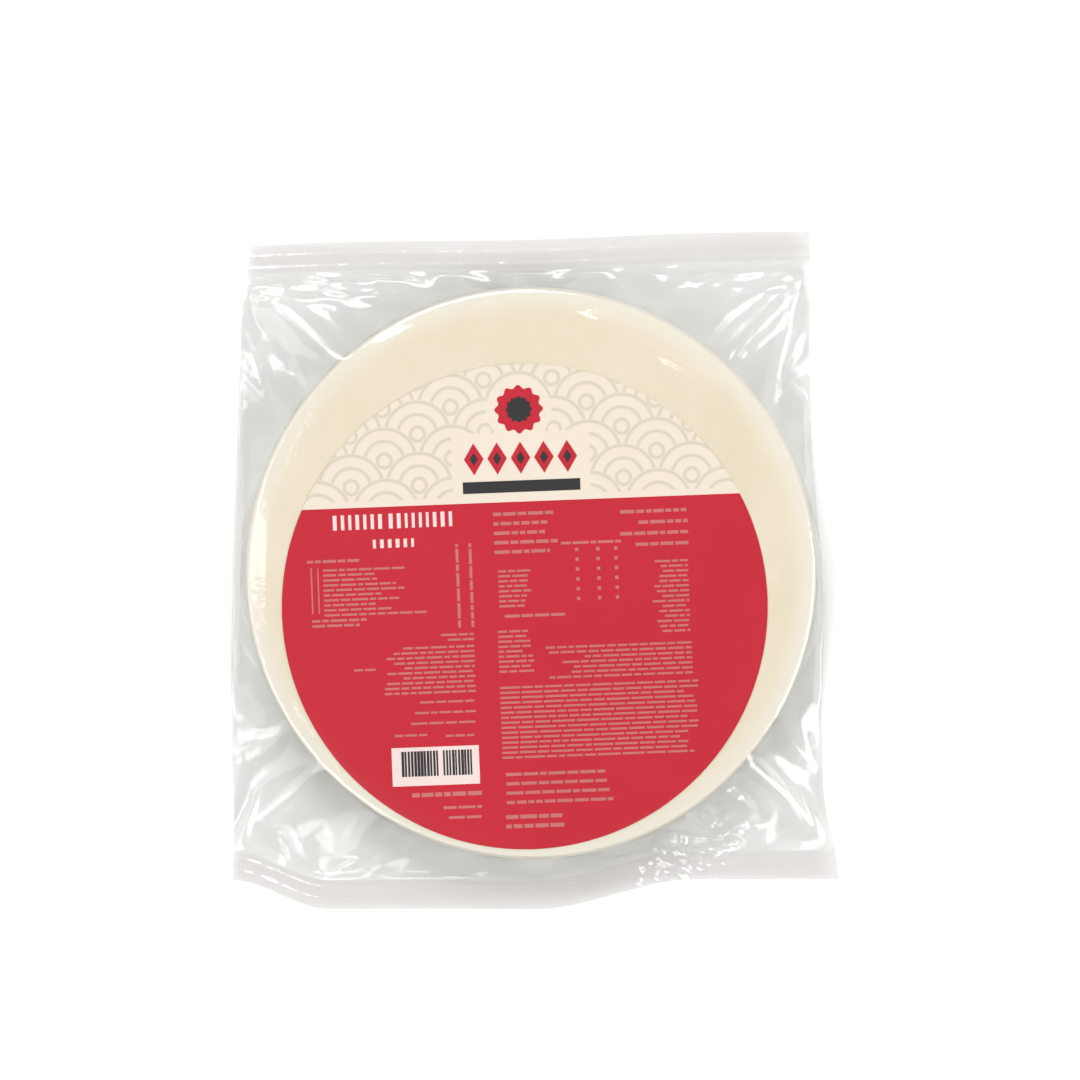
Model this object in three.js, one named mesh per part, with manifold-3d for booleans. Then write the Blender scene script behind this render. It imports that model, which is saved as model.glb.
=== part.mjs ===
// A pack of round rice paper wrappers. A flat stack of sheets, with a round paper label
// on its top sheet, is sealed in a clear film bag. The film is tight over the stack, drops
// down its side, and runs out to flat margins that are sealed along the top and the bottom.
// The sealed bag is one closed solid with the outer form of the film.
//
// Millimetres. The bag lies flat, label side up: +X right, +Y towards the top seal, +Z up.
// The origin is under the middle of the bag's outline, on the surface that it lies on.
import * as THREE from 'three';
import { mergeVertices } from 'three/addons/utils/BufferGeometryUtils.js';
import Module from 'manifold-3d';

// The contents.
const wrapperDiameter = 220;
const stackHeight = 18;
const labelDiameter = 187;
const labelShift = new THREE.Vector2(-2.4, -12.9); // from the stack's centre
const labelRelief = 0.35; // the step that the label's edge makes in the film

// The film bag, with corners measured from the stack's centre.
const filmClearance = 0.6; // between the stack's side and the film's shoulder
const corners = {
  topLeft: new THREE.Vector2(-109, 127),
  topRight: new THREE.Vector2(108, 132.5),
  bottomRight: new THREE.Vector2(119.5, -119),
  bottomLeft: new THREE.Vector2(-116, -119.5),
};
const topRipple = 0.5;
const upperTuck = 2.6; // the right edge is drawn in above the stack's widest place
const lowerTuck = 4; // and more so below it
const bellyDepth = 11.2; // the bottom edge hangs out under the stack
const sideSwell = 3; // the left edge is pushed out by the stack
const sealDepth = 11; // width of the heat-sealed band along the top and the bottom
const marginThickness = 0.9; // the two films with the air between them
const rimHeight = 4.75; // mean height of the bag's edge above the surface
const rimSideLift = 2; // the left and right edges are higher than the seals
const rimCornerDroop = 1.75; // the corners hang lower than the edges
const rimRipple = 0.45;
const rimRippleCount = 11;
const pleatDepth = 0.035; // height of a pleat for each millimetre of margin
const pleatCount = 23;
const drapeTop = 1.3; // how quickly the upper film falls away from the shoulder
const drapeUnder = 0.7; // how slowly the lower film leaves the surface

// How finely the surfaces are divided.
const stationsPerEdge = 32;
const labelSegments = 96;
const labelRoot = 2; // how deep the label's step starts inside the stack
const marginSteps = [0.07, 0.18, 0.32, 0.48, 0.64, 0.8, 1];
const shoulderWidth = 1.6;
const shoulderDrop = 0.5;
const mergeTolerance = 1e-4;

const shoulderRadius = wrapperDiameter / 2 + filmClearance;

// A bow rises smoothly to its full depth, keeps it, and fades again. Its four marks are
// shares of the way along an edge.
function swell(along, rise, full, fade, end) {
  const { smoothstep } = THREE.MathUtils;
  return smoothstep(along, rise, full) * (1 - smoothstep(along, fade, end));
}

// The four edges, clockwise from the top left corner. A bow is how far the edge lies
// outside the straight line between its corners, at a share of the way along it.
const edges = [
  {
    start: corners.topLeft,
    end: corners.topRight,
    bow: (along) => topRipple * Math.sin(3 * Math.PI * along),
  },
  {
    start: corners.topRight,
    end: corners.bottomRight,
    bow: (along) =>
      -upperTuck * swell(along, 0, 0.3, 0.35, 0.6) -
      lowerTuck * swell(along, 0.5, 0.8, 0.86, 1),
  },
  {
    start: corners.bottomRight,
    end: corners.bottomLeft,
    bow: (along) => bellyDepth * swell(along, 0.24, 0.5, 0.84, 1),
  },
  {
    start: corners.bottomLeft,
    end: corners.topLeft,
    bow: (along) => sideSwell * swell(along, 0, 0.4, 0.9, 1),
  },
];

// A point on the bag's outline, a share of the way along one edge.
function outlinePoint(edge, along) {
  const run = edge.end.clone().sub(edge.start);
  const outward = new THREE.Vector2(-run.y, run.x).normalize();
  return edge.start
    .clone()
    .addScaledVector(run, along)
    .addScaledVector(outward, edge.bow(along));
}

// How far a point inside the outline is from an edge, measured along one axis.
function distanceToEdge(edge, point, axis) {
  const other = axis === 'x' ? 'y' : 'x';
  const span = edge.end[other] - edge.start[other];
  const along = THREE.MathUtils.clamp((point[other] - edge.start[other]) / span, 0, 1);
  return Math.abs(outlinePoint(edge, along)[axis] - point[axis]);
}

// 1 over the stack, 0 where the two films meet, and falling between in the margin.
function fullness(point) {
  const [top, right, bottom, left] = edges;
  const beyondStack = Math.max(point.length() - shoulderRadius, 0);
  const beforeSeal = Math.min(
    distanceToEdge(right, point, 'x'),
    distanceToEdge(left, point, 'x'),
    Math.max(distanceToEdge(top, point, 'y') - sealDepth, 0),
    Math.max(distanceToEdge(bottom, point, 'y') - sealDepth, 0),
  );
  if (beyondStack === 0) {
    return 1;
  }
  return beforeSeal / (beforeSeal + beyondStack);
}

// Height of the bag's edge: high beside the stack, low at the corners, and rippled.
function edgeHeight(angle) {
  return (
    rimHeight +
    rimSideLift * Math.cos(2 * angle) +
    rimCornerDroop * Math.cos(4 * angle) +
    rimRipple * Math.sin(rimRippleCount * angle)
  );
}

// Pleats run out from the stack, and are deepest where the margin is wide.
function pleat(angle, full, marginWidth) {
  const bell = 4 * full * (1 - full);
  return pleatDepth * marginWidth * bell * Math.cos(pleatCount * angle);
}

// Height of the upper or the lower film at a point on the way from the stack to the edge.
function filmHeight(isUpper, point, marginWidth) {
  const angle = Math.atan2(point.y, point.x);
  const full = fullness(point);
  const fold = pleat(angle, full, marginWidth);
  const edge = edgeHeight(angle);
  if (isUpper) {
    const share = full ** drapeTop;
    return THREE.MathUtils.lerp(edge + marginThickness / 2, stackHeight, share) + fold;
  }
  const share = full ** drapeUnder;
  return Math.max(THREE.MathUtils.lerp(edge - marginThickness / 2, 0, share) + fold, 0);
}

// The rings of the bag's surface, from the middle of its top to the middle of its
// underside: a round part over the stack, and steps across the margin.
function surfaceRings() {
  const margin = marginSteps.map((step) => ({ step }));
  const upper = [
    { radius: 0, height: stackHeight },
    { radius: shoulderRadius - shoulderWidth, height: stackHeight },
    { radius: shoulderRadius, height: stackHeight - shoulderDrop },
    ...margin.map((ring) => ({ ...ring, isUpper: true })),
  ];
  const lower = [
    ...margin.toReversed().map((ring) => ({ ...ring, isUpper: false })),
    { radius: shoulderRadius - shoulderWidth, height: 0 },
    { radius: 0, height: 0 },
  ];
  return [...upper, ...lower];
}

// Where one ring meets the line from the stack's centre to a point on the outline.
function surfacePoint(ring, rim) {
  const direction = rim.clone().normalize();
  if (ring.step === undefined) {
    return new THREE.Vector3(
      direction.x * ring.radius,
      direction.y * ring.radius,
      ring.height,
    );
  }
  const marginWidth = rim.length() - shoulderRadius;
  const point = direction.multiplyScalar(shoulderRadius + ring.step * marginWidth);
  return new THREE.Vector3(
    point.x,
    point.y,
    filmHeight(ring.isUpper, point, marginWidth),
  );
}

// The film bag: a turned surface whose every station is carried out to the outline.
function bagGeometry() {
  const rings = surfaceRings();
  const profile = rings.map((_, index) => new THREE.Vector2(index, index));
  const stations = stationsPerEdge * edges.length;
  const bag = new THREE.LatheGeometry(profile, stations);
  const position = bag.getAttribute('position');
  for (let index = 0; index < position.count; index += 1) {
    const station = Math.floor(index / rings.length) % stations;
    const edge = edges[Math.floor(station / stationsPerEdge)];
    const rim = outlinePoint(edge, (station % stationsPerEdge) / stationsPerEdge);
    const { x, y, z } = surfacePoint(rings[index % rings.length], rim);
    position.setXYZ(index, x, y, z);
  }
  return bag;
}

// The label under the film, as a low round step that starts inside the stack.
function labelGeometry() {
  const radius = labelDiameter / 2;
  const middleHeight = stackHeight + (labelRelief - labelRoot) / 2;
  return new THREE.CylinderGeometry(radius, radius, labelRoot + labelRelief, labelSegments)
    .rotateX(Math.PI / 2)
    .translate(labelShift.x, labelShift.y, middleHeight);
}

// A closed geometry as a solid that can be joined.
function solidFrom(wasm, geometry) {
  const bare = new THREE.BufferGeometry();
  bare.setAttribute('position', geometry.getAttribute('position'));
  bare.setIndex(geometry.index);
  const merged = mergeVertices(bare, mergeTolerance);
  const kept = [];
  const index = merged.index.array;
  for (let face = 0; face < index.length; face += 3) {
    const [a, b, c] = index.slice(face, face + 3);
    if (a !== b && b !== c && c !== a) {
      kept.push(a, b, c);
    }
  }
  return new wasm.Manifold(
    new wasm.Mesh({
      numProp: 3,
      vertProperties: merged.getAttribute('position').array,
      triVerts: new Uint32Array(kept),
    }),
  );
}

// A solid as a geometry that can be shown.
function geometryFrom(solid) {
  const { vertProperties, triVerts } = solid.getMesh();
  const geometry = new THREE.BufferGeometry();
  geometry.setAttribute('position', new THREE.BufferAttribute(vertProperties, 3));
  geometry.setIndex(new THREE.BufferAttribute(triVerts, 1));
  geometry.computeVertexNormals();
  return geometry;
}

async function sealedBag() {
  const wasm = await Module();
  wasm.setup();
  const filled = solidFrom(wasm, bagGeometry()).add(solidFrom(wasm, labelGeometry()));
  const creamUnderFilm = new THREE.MeshStandardMaterial({
    color: 0xeee4cc,
    roughness: 0.25,
    metalness: 0,
  });
  const mesh = new THREE.Mesh(geometryFrom(filled), creamUnderFilm);
  mesh.name = 'sealed_bag';
  return mesh;
}

const pack = new THREE.Group();
pack.name = 'rice_paper_wrapper_pack';
pack.add(await sealedBag());

const middle = new THREE.Box3().setFromObject(pack).getCenter(new THREE.Vector3());
pack.children[0].position.set(-middle.x, -middle.y, 0);

export default pack;
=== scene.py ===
"""A sealed pack of round rice paper wrappers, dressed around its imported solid.

The pack lies on a white table with its label up, and the camera looks straight down on it.
A stack of thin round sheets carries a round paper label on its top sheet. A clear film bag
is drawn over the stack, runs out to loose margins, and is sealed along its top and bottom.

Shapes are worked out in millimetres from the stack's centre, with +X right, +Y towards the
top seal and +Z up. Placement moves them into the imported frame, in metres.
"""

import logging
import math
from collections.abc import Callable, Sequence
from dataclasses import dataclass, field
from enum import Enum

import bpy
import numpy as np
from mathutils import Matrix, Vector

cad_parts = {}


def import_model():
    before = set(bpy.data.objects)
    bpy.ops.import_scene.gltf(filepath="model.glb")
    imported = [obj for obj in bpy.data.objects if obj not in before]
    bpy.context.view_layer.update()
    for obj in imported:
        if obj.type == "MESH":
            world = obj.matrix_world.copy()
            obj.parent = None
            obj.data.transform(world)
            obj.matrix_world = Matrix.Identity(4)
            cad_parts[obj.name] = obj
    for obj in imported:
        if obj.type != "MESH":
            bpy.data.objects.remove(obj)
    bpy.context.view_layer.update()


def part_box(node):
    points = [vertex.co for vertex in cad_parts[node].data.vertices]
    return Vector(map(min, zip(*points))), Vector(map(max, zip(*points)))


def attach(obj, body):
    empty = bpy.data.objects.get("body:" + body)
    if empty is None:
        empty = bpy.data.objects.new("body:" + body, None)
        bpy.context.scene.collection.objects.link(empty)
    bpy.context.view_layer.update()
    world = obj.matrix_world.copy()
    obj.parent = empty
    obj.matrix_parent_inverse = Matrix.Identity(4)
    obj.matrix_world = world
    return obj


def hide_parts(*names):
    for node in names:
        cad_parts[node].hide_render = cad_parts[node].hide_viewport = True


LOG = logging.getLogger("rice_paper_pack")
BODY = "root"
BAG_NODE = "sealed_bag"
METRES = 0.001
SEED = 2207
SHARP_ANGLE = math.radians(75.0)
TINY = 1e-9

Array = np.ndarray


def smooth_rise(values: Array | float, low: float, high: float) -> Array:
    """Return 0 below low, 1 above high, and a smooth rise between them."""
    share = np.clip((np.asarray(values, float) - low) / (high - low), 0.0, 1.0)
    return share * share * (3.0 - 2.0 * share)


def blend(first: Array | float, second: Array | float, share: Array | float) -> Array:
    """Return the mix of two values, from the first at 0 to the second at 1."""
    return first + (second - first) * share


def midway(near: Array, far: Array) -> Array:
    """Return the place halfway between two points of a smooth curve.

    Args:
        near: the sum of the two points.
        far: the sum of the points before and after them.

    Returns:
        The place between them, on the curve through all four.
    """
    return (9.0 * near - far) / 16.0


def turned(
    x: Array, y: Array, centre: tuple[float, float], facing: float
) -> tuple[Array, Array]:
    """Return places measured from a centre, along and across a facing.

    Args:
        x: places across the bag.
        y: places up the bag.
        centre: the point that they are measured from.
        facing: the angle from +X.

    Returns:
        How far each place lies along the facing, and how far to its left.
    """
    cosine, sine = math.cos(facing), math.sin(facing)
    along = (x - centre[0]) * cosine + (y - centre[1]) * sine
    across = (y - centre[1]) * cosine - (x - centre[0]) * sine
    return along, across


def bell(x: Array, y: Array, centre: tuple[float, float], spread: float) -> Array:
    """Return a round hump that is 1 at its centre and fades over its spread."""
    distance = (x - centre[0]) ** 2 + (y - centre[1]) ** 2
    return np.exp(-distance / (2.0 * spread**2))


class Side(Enum):
    """The bag's four sides, clockwise from its top left corner."""

    TOP = 0
    RIGHT = 1
    BOTTOM = 2
    LEFT = 3


@dataclass(frozen=True)
class Swell:
    """A bow that rises to its depth along an edge, keeps it, and fades again."""

    depth: float
    rise: float
    full: float
    fade: float
    end: float

    def at(self, along: Array) -> Array:
        """Return the bow's depth at shares of the way along the edge."""
        fading = smooth_rise(along, self.fade, self.end)
        return self.depth * smooth_rise(along, self.rise, self.full) * (1.0 - fading)


@dataclass(frozen=True)
class BagOutline:
    """The flat outline of the film bag, measured from the stack's centre."""

    top_left: tuple[float, float] = (-109.0, 127.0)
    top_right: tuple[float, float] = (108.0, 132.5)
    bottom_right: tuple[float, float] = (119.5, -119.0)
    bottom_left: tuple[float, float] = (-116.0, -119.5)
    top_ripple: float = 0.5
    top_half_waves: int = 3
    right_bows: tuple[Swell, ...] = (
        Swell(-2.6, 0.0, 0.3, 0.35, 0.6),
        Swell(-4.0, 0.5, 0.8, 0.86, 1.0),
    )
    bottom_bows: tuple[Swell, ...] = (Swell(11.2, 0.24, 0.5, 0.84, 1.0),)
    left_bows: tuple[Swell, ...] = (Swell(3.0, 0.0, 0.4, 0.9, 1.0),)
    seal_depth: float = 11.0
    samples: int = 400

    def corners(self, side: Side) -> tuple[Array, Array]:
        """Return the two corners of a side, clockwise."""
        ring = (self.top_left, self.top_right, self.bottom_right, self.bottom_left)
        return np.array(ring[side.value]), np.array(ring[(side.value + 1) % 4])

    def bow(self, side: Side, along: Array) -> Array:
        """Return how far a side lies outside the straight line between its corners.

        Args:
            side: the side of the bag.
            along: shares of the way along it, clockwise.

        Returns:
            The distance at each share.
        """
        if side is Side.TOP:
            return self.top_ripple * np.sin(self.top_half_waves * math.pi * along)
        bows = {
            Side.RIGHT: self.right_bows,
            Side.BOTTOM: self.bottom_bows,
            Side.LEFT: self.left_bows,
        }[side]
        return sum(swell.at(along) for swell in bows)

    def edge(self, side: Side, along: Array) -> Array:
        """Return points on a side, at shares of the way along it.

        Args:
            side: the side of the bag.
            along: shares of the way, clockwise.

        Returns:
            One row of x and y for each share.
        """
        start, end = self.corners(side)
        run = end - start
        outward = np.array((-run[1], run[0])) / np.linalg.norm(run)
        along = np.atleast_1d(np.asarray(along, float))
        return start + np.outer(along, run) + np.outer(self.bow(side, along), outward)

    def seal_share(self, side: Side) -> float:
        """Return the share of an upright side that one seal takes up."""
        start, end = self.corners(side)
        return self.seal_depth / float(np.linalg.norm(end - start))

    def seal_line(self, side: Side, along: Array) -> Array:
        """Return points on the inner line of the top or the bottom seal.

        Args:
            side: the top or the bottom side.
            along: shares of the way, clockwise.

        Returns:
            One row of x and y for each share.
        """
        before, after = Side((side.value - 1) % 4), Side((side.value + 1) % 4)
        start_step = self.edge(before, 1.0 - self.seal_share(before)) - self.edge(before, 1.0)
        end_step = self.edge(after, self.seal_share(after)) - self.edge(after, 0.0)
        along = np.atleast_1d(np.asarray(along, float))
        return self.edge(side, along) + blend(start_step, end_step, along[:, None])

    def pillow_rim(self, stations: int) -> Array:
        """Return the rim of the unsealed part, with the same number of points a side.

        Args:
            stations: how many points each side gets.

        Returns:
            One row of x and y for each point, clockwise from the top left.
        """
        share = np.arange(stations) / stations
        points = []
        for side in Side:
            if side in (Side.TOP, Side.BOTTOM):
                points.append(self.seal_line(side, share))
            else:
                taken = self.seal_share(side)
                points.append(self.edge(side, taken + share * (1.0 - 2.0 * taken)))
        return np.concatenate(points)

    def middle(self) -> Array:
        """Return the middle of the box that the outline fills.

        Returns:
            Its x and y.
        """
        along = np.linspace(0.0, 1.0, self.samples)
        points = np.concatenate([self.edge(side, along) for side in Side])
        return (points.min(axis=0) + points.max(axis=0)) / 2.0


@dataclass(frozen=True)
class StackForm:
    """The outer form of the stack of sheets, with a slightly dished top."""

    radius: float = 110.0
    floor_gap: float = 0.2
    height: float = 18.0
    crest_radius: float = 98.5
    crest_spread: float = 8.5
    crest_height: float = 0.7
    crest_facing: float = math.radians(70.0)
    crest_evenness: float = 0.68
    edge_curl: float = 0.75

    def crest(self, x: Array, y: Array) -> Array:
        """Return how much the curled rim stands above the flat middle of the top.

        Args:
            x: places across the pack.
            y: places up the pack.

        Returns:
            The height at each place.
        """
        reach = np.hypot(x, y)
        facing = np.cos(np.arctan2(y, x) - self.crest_facing)
        share = self.crest_evenness + (1.0 - self.crest_evenness) * facing
        ridge = np.exp(-(((reach - self.crest_radius) / self.crest_spread) ** 2))
        curl = self.edge_curl * smooth_rise(reach, self.crest_radius, self.radius)
        return self.crest_height * share * ridge - curl

    def top(self, x: Array, y: Array) -> Array:
        """Return the height of the top sheet's upper face."""
        return self.floor_gap + self.height + self.crest(x, y)


@dataclass(frozen=True)
class LabelForm:
    """Where the round paper label lies on the top sheet.

    The print has its own origin, measured from the label's centre.
    """

    radius: float = 93.4
    centre: tuple[float, float] = (-2.4, -12.9)
    print_shift: tuple[float, float] = (0.57, 1.68)
    tilt: float = math.radians(2.2)
    thickness: float = 0.12
    clearance: float = 0.05
    wave: float = 0.06
    wave_length: float = 61.0
    field_line: float = 38.7

    def to_stack(self, points: Array) -> Array:
        """Turn points of the print into points measured from the stack's centre.

        Args:
            points: x and y in the print's own frame.

        Returns:
            The same points in the stack's frame.
        """
        cosine, sine = math.cos(self.tilt), math.sin(self.tilt)
        turn = np.array(((cosine, sine), (-sine, cosine)))
        return (points + np.array(self.print_shift)) @ turn + np.array(self.centre)

    def lift(self, x: Array, y: Array) -> Array:
        """Return how far the label's upper face stands above the top sheet.

        Args:
            x: places across the pack.
            y: places up the pack.

        Returns:
            The height at each place.
        """
        rolling = np.sin(2.0 * math.pi * x / self.wave_length) * np.cos(
            2.0 * math.pi * y / self.wave_length
        )
        return self.clearance + self.thickness + self.wave * (1.0 + rolling)


class Placement:
    """Moves points from the stack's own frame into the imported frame."""

    def __init__(self, outline: BagOutline) -> None:
        """Work out where the stack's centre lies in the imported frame.

        Args:
            outline: the bag's outline round the stack's centre.
        """
        low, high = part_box(BAG_NODE)
        box_middle = (np.array(low) + np.array(high))[:2] / 2.0
        self.centre = np.append(box_middle - outline.middle() * METRES, 0.0)

    def place(self, points: Array) -> Array:
        """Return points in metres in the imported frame."""
        return np.asarray(points, float) * METRES + self.centre


@dataclass
class MeshParts:
    """Points and faces that are gathered into one mesh."""

    points: list[Array] = field(default_factory=list)
    faces: list[Array] = field(default_factory=list)
    zones: list[Array] = field(default_factory=list)
    count: int = 0
    zone: int = 0

    def add_points(self, points: Array) -> Array:
        """Add points and return their numbers, in the shape that the points came in.

        Args:
            points: x, y and z along the last axis.

        Returns:
            The number of each point.
        """
        flat = points.reshape(-1, 3)
        numbers = np.arange(self.count, self.count + len(flat))
        self.points.append(flat)
        self.count += len(flat)
        return numbers.reshape(points.shape[:-1])

    def add_faces(self, *corners: Array) -> None:
        """Add faces whose corners are given as arrays of point numbers.

        Args:
            *corners: one array for each corner of the faces.
        """
        rows = np.stack([np.asarray(corner).ravel() for corner in corners], axis=1)
        self.faces.append(rows)
        self.zones.append(np.full(len(rows), self.zone))

    def add_grid(self, numbers: Array, flip: bool = False) -> None:
        """Add the quads between the rows and columns of a grid of point numbers.

        Args:
            numbers: the grid of point numbers.
            flip: whether the faces look the other way.
        """
        corners = [numbers[:-1, :-1], numbers[1:, :-1], numbers[1:, 1:], numbers[:-1, 1:]]
        if flip:
            corners.reverse()
        self.add_faces(*corners)

    def add_band(self, first: Array, second: Array, flip: bool = False) -> None:
        """Add the quads between two closed rings of point numbers.

        Args:
            first: one ring.
            second: the other ring, with as many points.
            flip: whether the faces look the other way.
        """
        corners = [first, second, np.roll(second, -1), np.roll(first, -1)]
        if flip:
            corners.reverse()
        self.add_faces(*corners)

    def add_fan(self, centre: int, ring: Array, flip: bool = False) -> None:
        """Add the triangles between one point and a closed ring of point numbers.

        Args:
            centre: the point's number.
            ring: the ring.
            flip: whether the faces look the other way.
        """
        corners = [np.full(ring.shape, centre), ring, np.roll(ring, -1)]
        if flip:
            corners.reverse()
        self.add_faces(*corners)

    def build(self, name: str, placement: Placement, smooth: bool = True) -> bpy.types.Object:
        """Make the piece and put it into the scene.

        Args:
            name: the piece's name.
            placement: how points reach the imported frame.
            smooth: whether faces are shaded smoothly.

        Returns:
            The new mesh object.
        """
        points = placement.place(np.concatenate(self.points))
        loops = np.concatenate([rows.ravel() for rows in self.faces])
        sizes = np.concatenate([np.full(len(rows), rows.shape[1]) for rows in self.faces])
        starts = np.concatenate(([0], np.cumsum(sizes)[:-1]))
        mesh = bpy.data.meshes.new(name)
        mesh.vertices.add(len(points))
        mesh.vertices.foreach_set("co", points.ravel())
        mesh.loops.add(len(loops))
        mesh.loops.foreach_set("vertex_index", loops.astype(np.int32))
        mesh.polygons.add(len(sizes))
        mesh.polygons.foreach_set("loop_start", starts.astype(np.int32))
        mesh.polygons.foreach_set("use_smooth", np.full(len(sizes), smooth))
        mesh.polygons.foreach_set("material_index", np.concatenate(self.zones))
        mesh.update(calc_edges=True)
        mesh.validate()
        if smooth:
            mesh.set_sharp_from_angle(angle=SHARP_ANGLE)
        piece = bpy.data.objects.new(name, mesh)
        bpy.context.scene.collection.objects.link(piece)
        return piece


def add_grid_slab(parts: MeshParts, plan: Array, under: Array, over: Array) -> None:
    """Add a closed slab over a grid of plan points.

    Args:
        parts: the mesh that takes the slab.
        plan: x and y of each grid point, with rows running towards +Y and columns to +X.
        under: the height of the lower face at each point.
        over: the height of the upper face at each point.
    """
    low = parts.add_points(np.dstack((plan, under)))
    high = parts.add_points(np.dstack((plan, over)))
    parts.add_grid(high, flip=True)
    parts.add_grid(low)
    low_rim = np.concatenate((low[0, :-1], low[:-1, -1], low[-1, :0:-1], low[:0:-1, 0]))
    high_rim = np.concatenate(
        (high[0, :-1], high[:-1, -1], high[-1, :0:-1], high[:0:-1, 0])
    )
    parts.add_band(low_rim, high_rim, flip=True)


def add_round_slab(parts: MeshParts, plan: Array, under: Array, over: Array) -> None:
    """Add a closed slab over rings of plan points round a middle point.

    Args:
        parts: the mesh that takes the slab.
        plan: x and y of each point, ring by ring from the inside, anticlockwise.
        under: the height of the lower face at each point.
        over: the height of the upper face at each point.
    """
    rims = []
    for heights, flip in ((over, False), (under, True)):
        rings = parts.add_points(np.dstack((plan, heights)))
        middle = np.append(plan[0].mean(axis=0), heights[0].mean())
        centre = int(parts.add_points(middle[None, :])[0])
        parts.add_fan(centre, rings[0], flip=flip)
        for inner, outer in zip(rings[:-1], rings[1:]):
            parts.add_band(inner, outer, flip=flip)
        rims.append(rings[-1])
    parts.add_band(*rims)


Socket = bpy.types.NodeSocket
Value = float | Socket


class NodeGraph:
    """Builds the nodes of one material or world."""

    def __init__(self, owner: bpy.types.Material | bpy.types.World) -> None:
        """Start with an empty tree.

        Args:
            owner: the material or world that gets the nodes.
        """
        owner.use_nodes = True
        self.tree = owner.node_tree
        self.tree.nodes.clear()

    def add(self, kind: str, **settings: object) -> bpy.types.Node:
        """Add a node and set the named properties on it.

        Args:
            kind: the node's type.
            **settings: the properties and their values.

        Returns:
            The node.
        """
        node = self.tree.nodes.new(kind)
        for name, value in settings.items():
            setattr(node, name, value)
        return node

    def feed(self, target: Socket, value: object) -> None:
        """Give a socket its value, by a link where the value is another socket.

        Args:
            target: the socket.
            value: a plain value or a socket.
        """
        if isinstance(value, bpy.types.NodeSocket):
            self.tree.links.new(value, target)
        else:
            target.default_value = value

    def math(self, operation: str, *values: Value, clamp: bool = False) -> Socket:
        """Return the result of one sum on numbers.

        Args:
            operation: the sum's name.
            *values: numbers or sockets, in order.
            clamp: whether the result is kept from 0 to 1.

        Returns:
            The result.
        """
        node = self.add("ShaderNodeMath", operation=operation, use_clamp=clamp)
        for target, value in zip(node.inputs, values):
            self.feed(target, value)
        return node.outputs[0]

    def noise(self, where: Socket, scale: float, detail: float = 2.0) -> Socket:
        """Return a noise value from 0 to 1 at a place.

        Args:
            where: the place.
            scale: how fine the noise is.
            detail: how many finer layers it has.

        Returns:
            The noise value.
        """
        node = self.add("ShaderNodeTexNoise")
        self.feed(node.inputs["Vector"], where)
        node.inputs["Scale"].default_value = scale
        node.inputs["Detail"].default_value = detail
        return node.outputs["Fac"]

    def mix_colour(self, share: Value, first: object, second: object) -> Socket:
        """Return the mix of two colours.

        Args:
            share: 0 for the first colour and 1 for the second.
            first: a colour or a socket.
            second: a colour or a socket.

        Returns:
            The mixed colour.
        """
        node = self.add("ShaderNodeMix", data_type="RGBA", clamp_factor=True)
        self.feed(node.inputs["Factor"], share)
        self.feed(node.inputs[6], first)
        self.feed(node.inputs[7], second)
        return node.outputs[2]

    def bump(self, height: Socket, depth: float) -> Socket:
        """Return a surface normal that is roughened by a height.

        Args:
            height: the height, from 0 to 1.
            depth: how deep a height of 1 is, in metres.

        Returns:
            The normal.
        """
        node = self.add("ShaderNodeBump")
        node.inputs["Distance"].default_value = depth
        self.feed(node.inputs["Height"], height)
        return node.outputs["Normal"]

    def place(self) -> Socket:
        """Return the place on a piece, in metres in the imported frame."""
        return self.add("ShaderNodeTexCoord").outputs["Object"]

    def principled(self, colour: object, roughness: float, specular: float) -> bpy.types.Node:
        """Return a surface shader with its plain values set.

        Args:
            colour: a colour or a socket.
            roughness: 0 for a mirror and 1 for chalk.
            specular: how strongly it shines.

        Returns:
            The shader's node.
        """
        node = self.add("ShaderNodeBsdfPrincipled")
        self.feed(node.inputs["Base Color"], colour)
        node.inputs["Roughness"].default_value = roughness
        node.inputs["Specular IOR Level"].default_value = specular
        return node

    def show(self, shader: Socket) -> None:
        """Make a shader the material's surface."""
        output = self.add("ShaderNodeOutputMaterial")
        self.tree.links.new(shader, output.inputs["Surface"])


Colour = tuple[float, float, float]


def opaque(colour: Colour) -> tuple[float, float, float, float]:
    """Return a colour with full alpha."""
    return (*colour, 1.0)


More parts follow.
